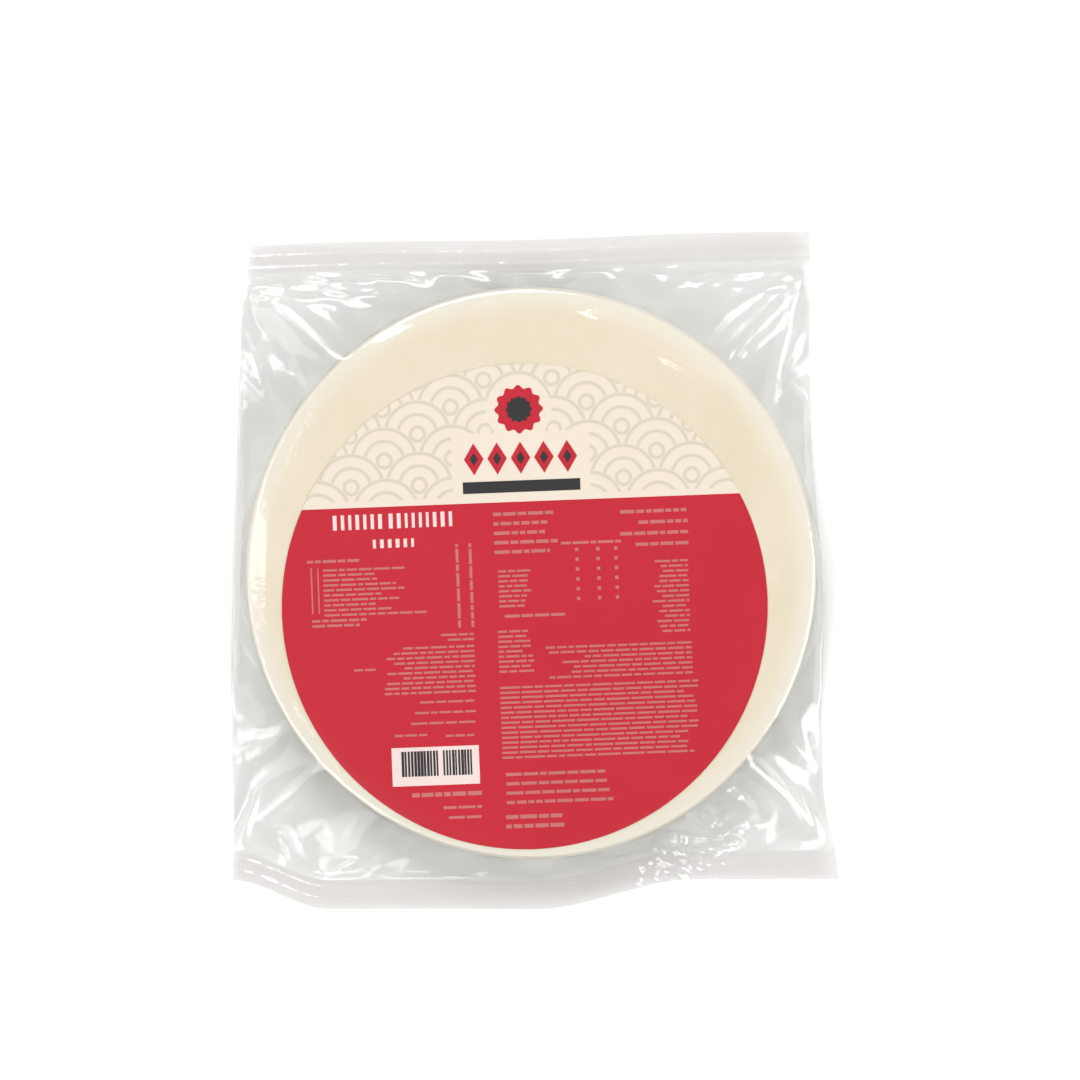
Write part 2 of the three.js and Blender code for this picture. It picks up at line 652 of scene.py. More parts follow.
@dataclass(frozen=True)
class FilmFinish:
    """Thin clear glossy film, seen through and lightly hazy."""

    name: str = "clear_film"
    tint: Colour = (0.964, 0.966, 0.957)
    haze: Colour = (0.9, 0.9, 0.89)
    haze_share: float = 0.006
    gloss_roughness: float = 0.13
    flat_gloss: float = 0.08
    steep_gloss: float = 0.75
    falloff: float = 4.0
    crinkle_scale: float = 170.0
    crinkle_detail: float = 3.0
    crinkle_depth: float = 0.00025

    def build(self) -> bpy.types.Material:
        """Return the material.

        Returns:
            The new material.
        """
        material = bpy.data.materials.new(self.name)
        graph = NodeGraph(material)
        where = graph.place()
        soft = graph.noise(where, self.crinkle_scale, self.crinkle_detail)
        normal = graph.bump(soft, self.crinkle_depth)
        clear = graph.add("ShaderNodeBsdfTransparent")
        clear.inputs["Color"].default_value = opaque(self.tint)
        milky = graph.add("ShaderNodeBsdfDiffuse")
        milky.inputs["Color"].default_value = opaque(self.haze)
        body = graph.add("ShaderNodeMixShader")
        body.inputs[0].default_value = self.haze_share
        graph.feed(body.inputs[1], clear.outputs[0])
        graph.feed(body.inputs[2], milky.outputs[0])
        gloss = graph.add("ShaderNodeBsdfGlossy")
        gloss.inputs["Roughness"].default_value = self.gloss_roughness
        graph.feed(gloss.inputs["Normal"], normal)
        weight = graph.add("ShaderNodeLayerWeight")
        graph.feed(weight.inputs["Normal"], normal)
        steepness = graph.math("POWER", weight.outputs["Facing"], self.falloff)
        share = graph.math("MULTIPLY_ADD", steepness, self.steep_gloss, self.flat_gloss)
        skin = graph.add("ShaderNodeMixShader")
        graph.feed(skin.inputs[0], share)
        graph.feed(skin.inputs[1], body.outputs[0])
        graph.feed(skin.inputs[2], gloss.outputs[0])
        graph.show(skin.outputs[0])
        return material


class FilmZone(Enum):
    """The parts of the bag where its film looks different."""

    TAUT = 0
    LOOSE = 1
    SEALED = 2


FILM_FINISHES = {
    FilmZone.TAUT: FilmFinish(),
    FilmZone.LOOSE: FilmFinish(
        name="loose_film",
        tint=(0.95, 0.952, 0.943),
        haze=(0.82, 0.82, 0.8),
        haze_share=0.08,
        gloss_roughness=0.19,
    ),
    FilmZone.SEALED: FilmFinish(
        name="sealed_film", tint=(0.95, 0.943, 0.936), haze=(0.72, 0.7, 0.69), haze_share=0.04
    ),
}


@dataclass(frozen=True)
class RicePaperFinish:
    """Dry translucent sheet that carries the pattern of its drying mat, with a painted highlight
    that pales it towards the rim.
    """

    placement: Placement
    name: str = "rice_paper"
    cream: Colour = (0.63, 0.55, 0.415)
    pale: Colour = (0.71, 0.635, 0.515)
    # Painted highlight: the paler rim colour near the stack's edge stands in for the film's glare
    # over the rim.
    rim: Colour = (0.69, 0.65, 0.57)
    rim_highlight_marks: tuple[float, float] = (0.099, 0.109)
    patch_scale: float = 38.0
    speck_scale: float = 900.0
    speck_share: float = 0.25
    mat_pitch: float = 0.0019
    mat_depth: float = 0.000018
    roughness: float = 0.5
    specular: float = 0.25

    def build(self) -> bpy.types.Material:
        """Return the material.

        Returns:
            The new material.
        """
        material = bpy.data.materials.new(self.name)
        graph = NodeGraph(material)
        where = graph.place()
        patches = graph.noise(where, self.patch_scale)
        specks = graph.noise(where, self.speck_scale)
        share = graph.math("MULTIPLY_ADD", specks, self.speck_share, patches)
        share = graph.math("SUBTRACT", share, self.speck_share / 2.0, clamp=True)
        colour = graph.mix_colour(share, opaque(self.cream), opaque(self.pale))
        # Painted highlight: the paper pales towards the stack's edge, where the film's glare
        # falls.
        colour = graph.mix_colour(self.rim_highlight_share(graph, where), colour, opaque(self.rim))
        shader = graph.principled(colour, self.roughness, self.specular)
        strands = self.mat_weave(graph, where)
        graph.feed(shader.inputs["Normal"], graph.bump(strands, self.mat_depth))
        graph.show(shader.outputs[0])
        return material

    def rim_highlight_share(self, graph: NodeGraph, where: Socket) -> Socket:
        """Return the share of the painted rim highlight, from 0 on the flat of a sheet to 1 at
        its rim.

        Args:
            graph: the material's nodes.
            where: the place.

        Returns:
            The share.
        """
        flat = graph.add("ShaderNodeVectorMath", operation="MULTIPLY")
        graph.feed(flat.inputs[0], where)
        flat.inputs[1].default_value = (1.0, 1.0, 0.0)
        away = graph.add("ShaderNodeVectorMath", operation="DISTANCE")
        graph.feed(away.inputs[0], flat.outputs[0])
        away.inputs[1].default_value = tuple(self.placement.centre)
        ramp = graph.add("ShaderNodeMapRange", interpolation_type="SMOOTHSTEP")
        graph.feed(ramp.inputs["Value"], away.outputs["Value"])
        for name, mark in zip(("From Min", "From Max"), self.rim_highlight_marks):
            ramp.inputs[name].default_value = mark
        return ramp.outputs[0]

    def mat_weave(self, graph: NodeGraph, where: Socket) -> Socket:
        """Return the height of the mat's crossed strands at a place.

        Args:
            graph: the material's nodes.
            where: the place.

        Returns:
            The height.
        """
        split = graph.add("ShaderNodeSeparateXYZ")
        graph.feed(split.inputs[0], where)
        turns = 2.0 * math.pi / self.mat_pitch
        across = graph.math("ADD", split.outputs["X"], split.outputs["Y"])
        along = graph.math("SUBTRACT", split.outputs["X"], split.outputs["Y"])
        first = graph.math("SINE", graph.math("MULTIPLY", across, turns))
        second = graph.math("SINE", graph.math("MULTIPLY", along, turns))
        return graph.math("MULTIPLY", first, second)


@dataclass(frozen=True)
class ScallopPaperFinish:
    """Cream label paper printed with rows of concentric wave scallops."""

    label: LabelForm
    placement: Placement
    name: str = "label_paper"
    paper: Colour = (0.73, 0.64, 0.55)
    line: Colour = (0.585, 0.54, 0.425)
    scallop_radius: float = 13.1
    row_pitch: float = 9.85
    first_row: float = 46.5
    ring_pitch: float = 4.8
    ring_inset: float = 0.8
    line_half_width: float = 0.65
    line_softness: float = 0.5
    rows_tested: int = 4
    clear_disc: tuple[float, float, float] = (0.0, 74.2, 12.6)
    clear_box: tuple[float, float, float, float] = (0.0, 53.0, 26.5, 12.5)
    clear_strip: float = 2.4
    roughness: float = 0.5
    specular: float = 0.3
    fibre_scale: float = 700.0
    fibre_depth: float = 0.00003

    def build(self) -> bpy.types.Material:
        """Return the material.

        Returns:
            The new material.
        """
        material = bpy.data.materials.new(self.name)
        graph = NodeGraph(material)
        where = graph.place()
        colour = graph.mix_colour(
            self.line_share(graph, where), opaque(self.paper), opaque(self.line)
        )
        shader = graph.principled(colour, self.roughness, self.specular)
        fibres = graph.noise(where, self.fibre_scale)
        graph.feed(shader.inputs["Normal"], graph.bump(fibres, self.fibre_depth))
        graph.show(shader.outputs[0])
        return material

    def label_place(self, graph: NodeGraph, where: Socket) -> tuple[Socket, Socket]:
        """Return a place in the print's own frame, in millimetres.

        Args:
            graph: the material's nodes.
            where: the place.

        Returns:
            Its x and y.
        """
        node = graph.add("ShaderNodeMapping", vector_type="POINT")
        origin = self.label.to_stack(np.zeros(2))
        middle = self.placement.centre / METRES + np.append(origin, 0.0)
        cosine, sine = math.cos(self.label.tilt), math.sin(self.label.tilt)
        node.inputs["Location"].default_value = (
            -(middle[0] * cosine + middle[1] * sine),
            -(middle[1] * cosine - middle[0] * sine),
            0.0,
        )
        node.inputs["Rotation"].default_value = (0.0, 0.0, -self.label.tilt)
        node.inputs["Scale"].default_value = (1.0 / METRES,) * 3
        graph.feed(node.inputs["Vector"], where)
        split = graph.add("ShaderNodeSeparateXYZ")
        graph.feed(split.inputs[0], node.outputs[0])
        return split.outputs["X"], split.outputs["Y"]

    def line_share(self, graph: NodeGraph, where: Socket) -> Socket:
        """Return 1 on a printed line and 0 on bare paper.

        The scallop in front is the lowest one whose circle holds the place, so the rows
        are tried from the lowest up, and the first that holds it gives the distance.

        Args:
            graph: the material's nodes.
            where: the place.

        Returns:
            The share of the line's colour.
        """
        x, y = self.label_place(graph, where)
        above_first = graph.math("SUBTRACT", y, self.first_row)
        lowest = graph.math(
            "CEIL",
            graph.math(
                "DIVIDE",
                graph.math("SUBTRACT", above_first, self.scallop_radius),
                self.row_pitch,
            ),
        )
        distance: Value = self.scallop_radius
        for step in reversed(range(self.rows_tested)):
            row = graph.math("ADD", lowest, float(step))
            reach = self.reach_from_row(graph, x, above_first, row)
            inside = graph.math("LESS_THAN", reach, self.scallop_radius)
            outside = graph.math("SUBTRACT", 1.0, inside)
            distance = graph.math(
                "ADD",
                graph.math("MULTIPLY", reach, inside),
                graph.math("MULTIPLY", distance, outside),
            )
        from_edge = graph.math("SUBTRACT", self.scallop_radius - self.ring_inset, distance)
        beside = graph.math("PINGPONG", from_edge, self.ring_pitch / 2.0)
        fade = graph.math("SUBTRACT", self.line_half_width, beside)
        line = graph.math("MULTIPLY_ADD", fade, 1.0 / self.line_softness, 0.5, clamp=True)
        return graph.math("MULTIPLY", line, self.printed_share(graph, x, y))

    def printed_share(self, graph: NodeGraph, x: Socket, y: Socket) -> Socket:
        """Return 0 where the paper is kept bare round the marks, and 1 elsewhere.

        Args:
            graph: the material's nodes.
            x: the place's x.
            y: the place's y.

        Returns:
            The share of the pattern that shows.
        """
        middle_x, middle_y, radius = self.clear_disc
        across = graph.math("SUBTRACT", x, middle_x)
        up = graph.math("SUBTRACT", y, middle_y)
        squares = graph.math("MULTIPLY_ADD", up, up, graph.math("MULTIPLY", across, across))
        off_disc = graph.math("SUBTRACT", graph.math("SQRT", squares), radius)
        box_x, box_y, half_width, half_height = self.clear_box
        sideways = graph.math("ABSOLUTE", graph.math("SUBTRACT", x, box_x))
        upright = graph.math("ABSOLUTE", graph.math("SUBTRACT", y, box_y))
        off_box = graph.math(
            "MAXIMUM",
            graph.math("SUBTRACT", sideways, half_width),
            graph.math("SUBTRACT", upright, half_height),
        )
        off_strip = graph.math("SUBTRACT", y, self.label.field_line + self.clear_strip)
        nearest = graph.math("MINIMUM", off_disc, graph.math("MINIMUM", off_box, off_strip))
        return graph.math("MULTIPLY_ADD", nearest, 1.0 / self.line_softness, 0.5, clamp=True)

    def reach_from_row(self, graph: NodeGraph, x: Socket, height: Socket, row: Socket) -> Socket:
        """Return the distance to the nearest scallop centre of one row.

        Args:
            graph: the material's nodes.
            x: the place's x.
            height: the place's height above the first row.
            row: the row's number.

        Returns:
            The distance in millimetres.
        """
        odd = graph.math("MODULO", graph.math("ABSOLUTE", row), 2.0)
        shift = graph.math("MULTIPLY", graph.math("SUBTRACT", 1.0, odd), self.scallop_radius)
        across = graph.math("PINGPONG", graph.math("SUBTRACT", x, shift), self.scallop_radius)
        up = graph.math("SUBTRACT", height, graph.math("MULTIPLY", row, self.row_pitch))
        squares = graph.math("MULTIPLY_ADD", up, up, graph.math("MULTIPLY", across, across))
        return graph.math("SQRT", squares)


@dataclass(frozen=True)
class InkFinish:
    """Printed ink, slightly uneven over the paper's fibres."""

    name: str
    colour: Colour
    shade: Colour
    roughness: float = 0.38
    specular: float = 0.25
    patch_scale: float = 22.0
    fibre_scale: float = 650.0
    fibre_depth: float = 0.00003

    def build(self) -> bpy.types.Material:
        """Return the material.

        Returns:
            The new material.
        """
        material = bpy.data.materials.new(self.name)
        graph = NodeGraph(material)
        where = graph.place()
        patches = graph.noise(where, self.patch_scale)
        colour = graph.mix_colour(patches, opaque(self.colour), opaque(self.shade))
        shader = graph.principled(colour, self.roughness, self.specular)
        fibres = graph.noise(where, self.fibre_scale)
        graph.feed(shader.inputs["Normal"], graph.bump(fibres, self.fibre_depth))
        graph.show(shader.outputs[0])
        return material


def dress(
    piece: bpy.types.Object, materials: Sequence[bpy.types.Material]
) -> bpy.types.Object:
    """Give a piece its materials, and let it ride on the pack's one body.

    Args:
        piece: the mesh object.
        materials: its finishes, in the order of its faces' numbers.

    Returns:
        The same piece.
    """
    for material in materials:
        piece.data.materials.append(material)
    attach(piece, BODY)
    LOG.info("%s: %d faces", piece.name, len(piece.data.polygons))
    return piece


@dataclass
class SheetStack:
    """The stack of thin round sheets, each one a closed disc of its own."""

    form: StackForm
    sheet_count: int = 40
    sheet_thickness: float = 0.24
    segments: int = 144
    ring_radii: tuple[float, ...] = (58.0, 88.0, 98.5, 105.0, 110.0)
    top_rings: int = 40
    top_segments: int = 240
    radius_spread: float = 0.5
    shift_spread: float = 0.35
    rim_round: float = 1.0
    rim_depth: float = 2.4
    edge_wave: float = 0.05
    edge_waves: tuple[int, ...] = (3, 5, 8)
    edge_wave_fade: int = 4

    def build(self, placement: Placement) -> list[bpy.types.Object]:
        """Build the sheets and dress them.

        Args:
            placement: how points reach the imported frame.

        Returns:
            The piece of inner sheets, and the top sheet.
        """
        material = RicePaperFinish(placement).build()
        draw = np.random.default_rng(SEED)
        parts = MeshParts()
        for number in range(self.sheet_count - 1):
            self.add_sheet(parts, number, draw, np.array(self.ring_radii), self.segments)
        stack = parts.build("rice_sheets", placement)
        top = MeshParts()
        radii = self.form.radius * np.linspace(0.0, 1.0, self.top_rings + 1)[1:]
        self.add_sheet(top, self.sheet_count - 1, draw, radii, self.top_segments)
        lid = top.build("rice_sheet_top", placement)
        return [dress(piece, [material]) for piece in (stack, lid)]

    def add_sheet(
        self,
        parts: MeshParts,
        number: int,
        draw: np.random.Generator,
        radii: Array,
        segments: int,
    ) -> None:
        """Add one sheet at its height in the stack.

        Args:
            parts: the mesh that takes the sheet.
            number: the sheet's place from the bottom, from 0.
            draw: the random draw for its unevenness.
            radii: the radius of each ring of points.
            segments: how many points a ring has.
        """
        angle = 2.0 * math.pi * np.arange(segments) / segments
        is_top = number == self.sheet_count - 1
        growth = 0.0 if is_top else draw.uniform(-self.radius_spread, 0.0)
        shift = draw.uniform(-self.shift_spread, self.shift_spread, 2) * (not is_top)
        depth = self.form.height * (1.0 - (number + 1) / self.sheet_count)
        drawn_in = self.rim_round * max(0.0, 1.0 - depth / self.rim_depth) ** 2
        growth = min(growth, -drawn_in)
        reach = np.outer(radii * (1.0 + growth / self.form.radius), np.ones(segments))
        x = reach * np.cos(angle) + shift[0]
        y = reach * np.sin(angle) + shift[1]
        share = (number + 1) / self.sheet_count
        pitch = self.form.height / self.sheet_count
        over = self.form.floor_gap + pitch * (number + 1) + self.form.crest(x, y) * share**2
        if not is_top:
            for waves in self.edge_waves:
                turn = draw.uniform(0.0, 2.0 * math.pi)
                fade = (reach / self.form.radius) ** self.edge_wave_fade
                over = over + self.edge_wave * fade * np.sin(waves * angle + turn)
        add_round_slab(parts, np.dstack((x, y)), over - self.sheet_thickness, over)


class PrintTone(Enum):
    """The colours that the label is printed in."""

    RED = "red_print"
    PALE = "pale_print"
    DARK = "dark_print"
    WHITE = "white_panel"


@dataclass(frozen=True)
class TextBlock:
    """Lines of plain bars that fill a block of small print.

    Left, right and top are in the print's own frame, and a ragged block's lines end early.
    """

    left: float
    right: float
    top: float
    lines: int
    pitch: float = 1.92
    height: float = 0.85
    from_right: bool = False
    fill: tuple[float, float] = (0.6, 1.0)
    word: tuple[float, float] = (2.0, 6.5)
    gap: float = 0.7


@dataclass(frozen=True)
class UprightLine:
    """A line of small print that runs up the label."""

    left: float
    bottom: float
    top: float
    width: float
    word: tuple[float, float]
    gap: float


@dataclass
class Label:
    """The round paper label and everything printed on it."""

    stack: StackForm
    form: LabelForm
    columns: int = 64
    field_rows: int = 56
    upper_rows: int = 30
    pole_angle: float = math.radians(89.0)
    ink_lift: float = 0.02
    ink_step: float = 0.025
    ink_root: float = 0.02
    piece_length: float = 4.0
    shortest_word: float = 1.0
    emblem_centre: float = 74.2
    emblem_radius: float = 9.4
    emblem_petals: int = 12
    emblem_points: int = 96
    petal_depth: float = 0.07
    rosette_rings: tuple[float, ...] = (0.3, 0.65, 1.0)
    lozenge_rings: tuple[float, ...] = (0.5, 1.0)
    rosette_heart_share: float = 0.55
    heart_share: float = 0.42
    lozenge_count: int = 5
    lozenge_row: float = 55.6
    lozenge_size: tuple[float, float] = (7.6, 12.4)
    lozenge_pitch: float = 9.0
    rule: tuple[float, float, float, float] = (-22.6, 22.6, 42.4, 46.9)
    heading_rows: tuple[tuple[float, float, float, float], ...] = (
        (-73.1, -54.0, 30.3, 36.0),
        (-51.6, -25.8, 30.3, 36.0),
        (-58.0, -39.6, 22.9, 26.2),
    )
    heading_block: tuple[float, float] = (1.0, 1.6)
    heading_gap: float = 1.6
    code_panel: tuple[float, float, float, float] = (-53.9, -20.3, -69.0, -54.2)
    code_margin: tuple[float, float, float, float] = (3.7, 2.3, 3.6, 1.5)
    code_groups: tuple[tuple[float, float, int], ...] = ((0.0, 0.53, 12), (0.58, 1.0, 10))
    code_stripe: tuple[float, float] = (0.55, 0.92)
    dot_columns: tuple[float, ...] = (19.6, 27.7, 34.6)
    dot_size: float = 1.3
    dot_pitch: float = 3.77
    dot_rows: int = 6
    blocks: tuple[TextBlock, ...] = (
        TextBlock(-83.6, -62.0, 19.1, 1, height=1.1, fill=(0.97, 1.0)),
        TextBlock(-77.6, -37.2, 15.5, 10, fill=(0.45, 1.0)),
        TextBlock(-82.5, -56.4, -3.8, 2, height=1.0, fill=(0.7, 1.0)),
        TextBlock(-33.2, -20.5, -11.0, 2, from_right=True),
        TextBlock(-56.0, -20.6, -15.6, 10, from_right=True, fill=(0.72, 1.0)),
        TextBlock(-67.1, -58.0, -23.3, 1, fill=(0.97, 1.0)),
        TextBlock(-53.7, -21.0, -36.6, 3, pitch=4.04, from_right=True, fill=(0.55, 1.0)),
        TextBlock(-52.3, -39.6, -49.1, 1, fill=(0.97, 1.0)),
        TextBlock(-32.8, -21.6, -49.8, 1, fill=(0.97, 1.0)),
        TextBlock(-47.0, -19.7, -71.8, 1, height=1.6, from_right=True, fill=(0.97, 1.0)),
        TextBlock(
            -36.5, -19.9, -77.3, 2, pitch=3.85, height=1.0, from_right=True, fill=(0.6, 1.0)
        ),
        TextBlock(-11.4, 19.4, 34.8, 5, pitch=3.65, height=1.3, fill=(0.62, 1.0)),
        TextBlock(
            35.2, 63.3, 33.9, 4, pitch=4.23, height=1.3, from_right=True, fill=(0.6, 1.0)
        ),
        TextBlock(14.3, 37.7, 22.6, 1, height=1.0, fill=(0.97, 1.0)),
        TextBlock(-10.3, 3.1, 12.6, 8, fill=(0.65, 1.0)),
        TextBlock(48.2, 62.8, 14.2, 15, from_right=True, fill=(0.65, 1.0)),
        TextBlock(-8.4, 16.3, -4.6, 1, height=1.1, fill=(0.97, 1.0)),
        TextBlock(-11.3, 2.6, -10.6, 9, fill=(0.7, 1.0)),
        TextBlock(6.0, 63.0, -17.4, 7, from_right=True, fill=(0.62, 1.0)),
        TextBlock(-11.3, 65.4, -32.2, 15, fill=(0.88, 1.0), word=(2.5, 9.0)),
        TextBlock(-10.3, 40.5, -65.4, 4, pitch=3.58, height=1.2, fill=(0.62, 1.0)),
        TextBlock(-10.9, 12.2, -81.6, 2, pitch=3.6, height=1.5, fill=(0.9, 1.0)),
    )
    upright_lines: tuple[UprightLine, ...] = (
        UprightLine(-82.4, -1.4, 16.4, 0.6, (17.0, 18.0), 1.0),
        UprightLine(-79.8, -1.4, 16.4, 0.5, (17.0, 18.0), 1.0),
        UprightLine(-26.4, -8.8, 23.4, 1.1, (2.0, 6.0), 0.7),
        UprightLine(-21.3, -8.8, 23.4, 1.1, (2.0, 6.0), 0.7),
    )

    def build(self, placement: Placement) -> list[bpy.types.Object]:
        """Build the label and its print, and dress them.

        Args:
            placement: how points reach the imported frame.

        Returns:
            The pieces of the label.
        """
        inks = {
            PrintTone.RED: InkFinish("red_ink", (0.52, 0.004, 0.023), (0.45, 0.003, 0.018)),
            PrintTone.PALE: InkFinish("pale_ink", (0.52, 0.17, 0.16), (0.47, 0.12, 0.12)),
            PrintTone.DARK: InkFinish("dark_ink", (0.012, 0.012, 0.014), (0.02, 0.018, 0.018)),
            PrintTone.WHITE: InkFinish("white_ink", (0.78, 0.65, 0.63), (0.74, 0.58, 0.56)),
        }
        materials = {tone: ink.build() for tone, ink in inks.items()}
        paper = ScallopPaperFinish(self.form, placement).build()
        pieces = [dress(self.paper(placement), [paper])]
        makers: list[tuple[str, PrintTone, Callable[[], MeshParts]]] = [
            ("label_red_field", PrintTone.RED, self.red_field),
            ("label_emblem", PrintTone.RED, self.emblem),
            ("label_emblem_hearts", PrintTone.DARK, self.emblem_hearts),
            ("label_rule", PrintTone.DARK, self.rule_bar),
            ("label_small_print", PrintTone.PALE, self.small_print),
            ("label_headings", PrintTone.WHITE, self.headings),
            ("label_code_panel", PrintTone.WHITE, self.panel),
            ("label_code_bars", PrintTone.DARK, self.code),
        ]
        for name, tone, maker in makers:
            piece = maker().build(name, placement, smooth=False)
            pieces.append(dress(piece, [materials[tone]]))
        return pieces

    def surface(self, plan: Array) -> Array:
        """Return the height of the label's upper face at points of the stack's frame."""
        x, y = plan[..., 0], plan[..., 1]
        return self.stack.top(x, y) + self.form.lift(x, y)

    def disc_rows(self, low: float, high: float, rows: int) -> Array:
        """Return a grid of plan points between two chords of the label.

        Args:
            low: the angle of the lower chord's ends above the label's middle.
            high: the angle of the upper chord's ends.
            rows: how many strips lie between them.

        Returns:
            The grid in the stack's frame.
        """
        angle = np.linspace(low, high, rows + 1)
        across = np.linspace(-1.0, 1.0, self.columns + 1)
        x = self.form.radius * np.outer(np.cos(angle), across)
        y = self.form.radius * np.outer(np.sin(angle), np.ones_like(across))
        return self.form.to_stack(np.dstack((x, y)) - np.array(self.form.print_shift))

    def field_angle(self) -> float:
        """Return the angle of the ends of the line between the two fields."""
        return math.asin((self.form.field_line + self.form.print_shift[1]) / self.form.radius)

    def paper(self, placement: Placement) -> bpy.types.Object:
        """Return the round sheet of label paper.

        Args:
            placement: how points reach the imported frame.

        Returns:
            The sheet's piece.
        """
        lower = self.disc_rows(-self.pole_angle, self.field_angle(), self.field_rows)
        upper = self.disc_rows(self.field_angle(), self.pole_angle, self.upper_rows)
        plan = np.concatenate((lower, upper[1:]))
        parts = MeshParts()
        over = self.surface(plan)
        add_grid_slab(parts, plan, over - self.form.thickness, over)
        return parts.build("label_paper", placement)

    def add_ink(self, parts: MeshParts, plan: Array, layer: int, is_round: bool = False) -> None:
        """Add a thin printed slab on the label.

        Args:
            parts: the mesh that takes it.
            plan: a grid of points in the stack's frame, or rings where it is round.
            layer: how many layers of ink lie under it.
            is_round: whether the plan is made of rings.
        """
        paper = self.surface(plan)
        over = paper + self.ink_lift + self.ink_step * layer
        add = add_round_slab if is_round else add_grid_slab
        add(parts, plan, paper - self.ink_root, over)

    def add_bar(self, parts: MeshParts, box: Sequence[float], layer: int = 1) -> None:
        """Add a plain bar.

        Args:
            parts: the mesh that takes it.
            box: left, right, bottom and top in the print's own frame.
            layer: how many layers of ink lie under it.
        """
        left, right, bottom, top = box
        across = max(1, math.ceil((right - left) / self.piece_length))
        up = max(1, math.ceil((top - bottom) / self.piece_length))
        x, y = np.meshgrid(
            np.linspace(left, right, across + 1), np.linspace(bottom, top, up + 1)
        )
        self.add_ink(parts, self.form.to_stack(np.dstack((x, y))), layer)

    def red_field(self) -> MeshParts:
        """Return the red field under the dividing line.

        Returns:
            The gathered slabs.
        """
        parts = MeshParts()
        plan = self.disc_rows(-self.pole_angle, self.field_angle(), self.field_rows)
        self.add_ink(parts, plan, 0)
        return parts

    def emblem(self) -> MeshParts:
        """Return a plain petalled rosette over a row of lozenges.

        Returns:
            The gathered slabs.
        """
        parts = MeshParts()
        self.add_rosette(parts, 1.0, 0)
        self.add_lozenges(parts, 1.0, 0)
        return parts

    def emblem_hearts(self) -> MeshParts:
        """Return the dark hearts of the rosette and the lozenges.

        Returns:
            The gathered slabs.
        """
        parts = MeshParts()
        self.add_rosette(parts, self.rosette_heart_share, 1)
        self.add_lozenges(parts, self.heart_share, 1)
        return parts

    def add_rosette(self, parts: MeshParts, share: float, layer: int) -> None:
        """Add a petalled disc of a share of the emblem's size.

        Args:
            parts: the mesh that takes it.
            share: its share of the full size.
            layer: how many layers of ink lie under it.
        """
        angle = 2.0 * math.pi * np.arange(self.emblem_points) / self.emblem_points
        petals = 1.0 + self.petal_depth * (np.cos(self.emblem_petals * angle) - 1.0)
        reach = self.emblem_radius * np.outer(share * np.array(self.rosette_rings), petals)
        plan = np.dstack((reach * np.cos(angle), reach * np.sin(angle) + self.emblem_centre))
        self.add_ink(parts, self.form.to_stack(plan), layer, is_round=True)

    def add_lozenges(self, parts: MeshParts, share: float, layer: int) -> None:
        """Add the row of lozenges, each of a share of its size.

        Args:
            parts: the mesh that takes it.
            share: its share of the full size.
            layer: how many layers of ink lie under it.
        """
        half_width, half_height = (size / 2.0 for size in self.lozenge_size)
        corners = np.array(
            ((half_width, 0.0), (0.0, half_height), (-half_width, 0.0), (0.0, -half_height))
        )
        steps = share * np.array(self.lozenge_rings)[:, None, None]
        for number in range(self.lozenge_count):
            middle = self.lozenge_pitch * (number - (self.lozenge_count - 1) / 2.0)
            rings = corners * steps + np.array((middle, self.lozenge_row))
            self.add_ink(parts, self.form.to_stack(rings), layer, is_round=True)

    def rule_bar(self) -> MeshParts:
        """Return the dark rule under the lozenges.

        Returns:
            The gathered slabs.
        """
        parts = MeshParts()
        self.add_bar(parts, self.rule, layer=0)
        return parts

    def headings(self) -> MeshParts:
        """Return the rows of blocks that stand for the headings.

        Returns:
            The gathered slabs.
        """
        parts = MeshParts()
        draw = np.random.default_rng(SEED + 1)
        for left, right, bottom, top in self.heading_rows:
            place = left
            while place < right - self.heading_gap:
                end = min(place + draw.uniform(*self.heading_block), right)
                self.add_bar(parts, (place, end, bottom, top))
                place = end + self.heading_gap
        return parts

    def small_print(self) -> MeshParts:
        """Return the plain bars that stand for the lines of small print.

        Returns:
            The gathered slabs.
        """
        parts = MeshParts()
        draw = np.random.default_rng(SEED + 2)
        for block in self.blocks:
            for line in range(block.lines):
                self.add_line(parts, block, line, draw)
        for upright in self.upright_lines:
            self.add_upright_line(parts, upright, draw)
        for left in self.dot_columns:
            for row in range(self.dot_rows):
                bottom = self.dot_pitch * row
                self.add_bar(parts, (left, left + self.dot_size, bottom, bottom + self.dot_size))
        return parts

    def add_line(
        self, parts: MeshParts, block: TextBlock, line: int, draw: np.random.Generator
    ) -> None:
        """Add one line of word bars of a block.

        Args:
            parts: the mesh that takes it.
            block: the block.
            line: the line's number from the top, from 0.
            draw: the random draw for the lengths.
        """
        top = block.top - line * block.pitch
        width = (block.right - block.left) * draw.uniform(*block.fill)
        left = block.right - width if block.from_right else block.left
        place = left
        while place < left + width - self.shortest_word:
            end = min(place + draw.uniform(*block.word), left + width)
            self.add_bar(parts, (place, end, top - block.height, top))
            place = end + block.gap

    def add_upright_line(
        self, parts: MeshParts, line: UprightLine, draw: np.random.Generator
    ) -> None:
        """Add a line of word bars that runs up the label.

        Args:
            parts: the mesh that takes it.
            line: the line.
            draw: the random draw for the lengths.
        """
        place = line.bottom
        while place < line.top - line.gap:
            end = min(place + draw.uniform(*line.word), line.top)
            self.add_bar(parts, (line.left, line.left + line.width, place, end))
            place = end + line.gap

    def panel(self) -> MeshParts:
        """Return the white panel of the striped code.

        Returns:
            The gathered slab.
        """
        parts = MeshParts()
        self.add_bar(parts, self.code_panel)
        return parts

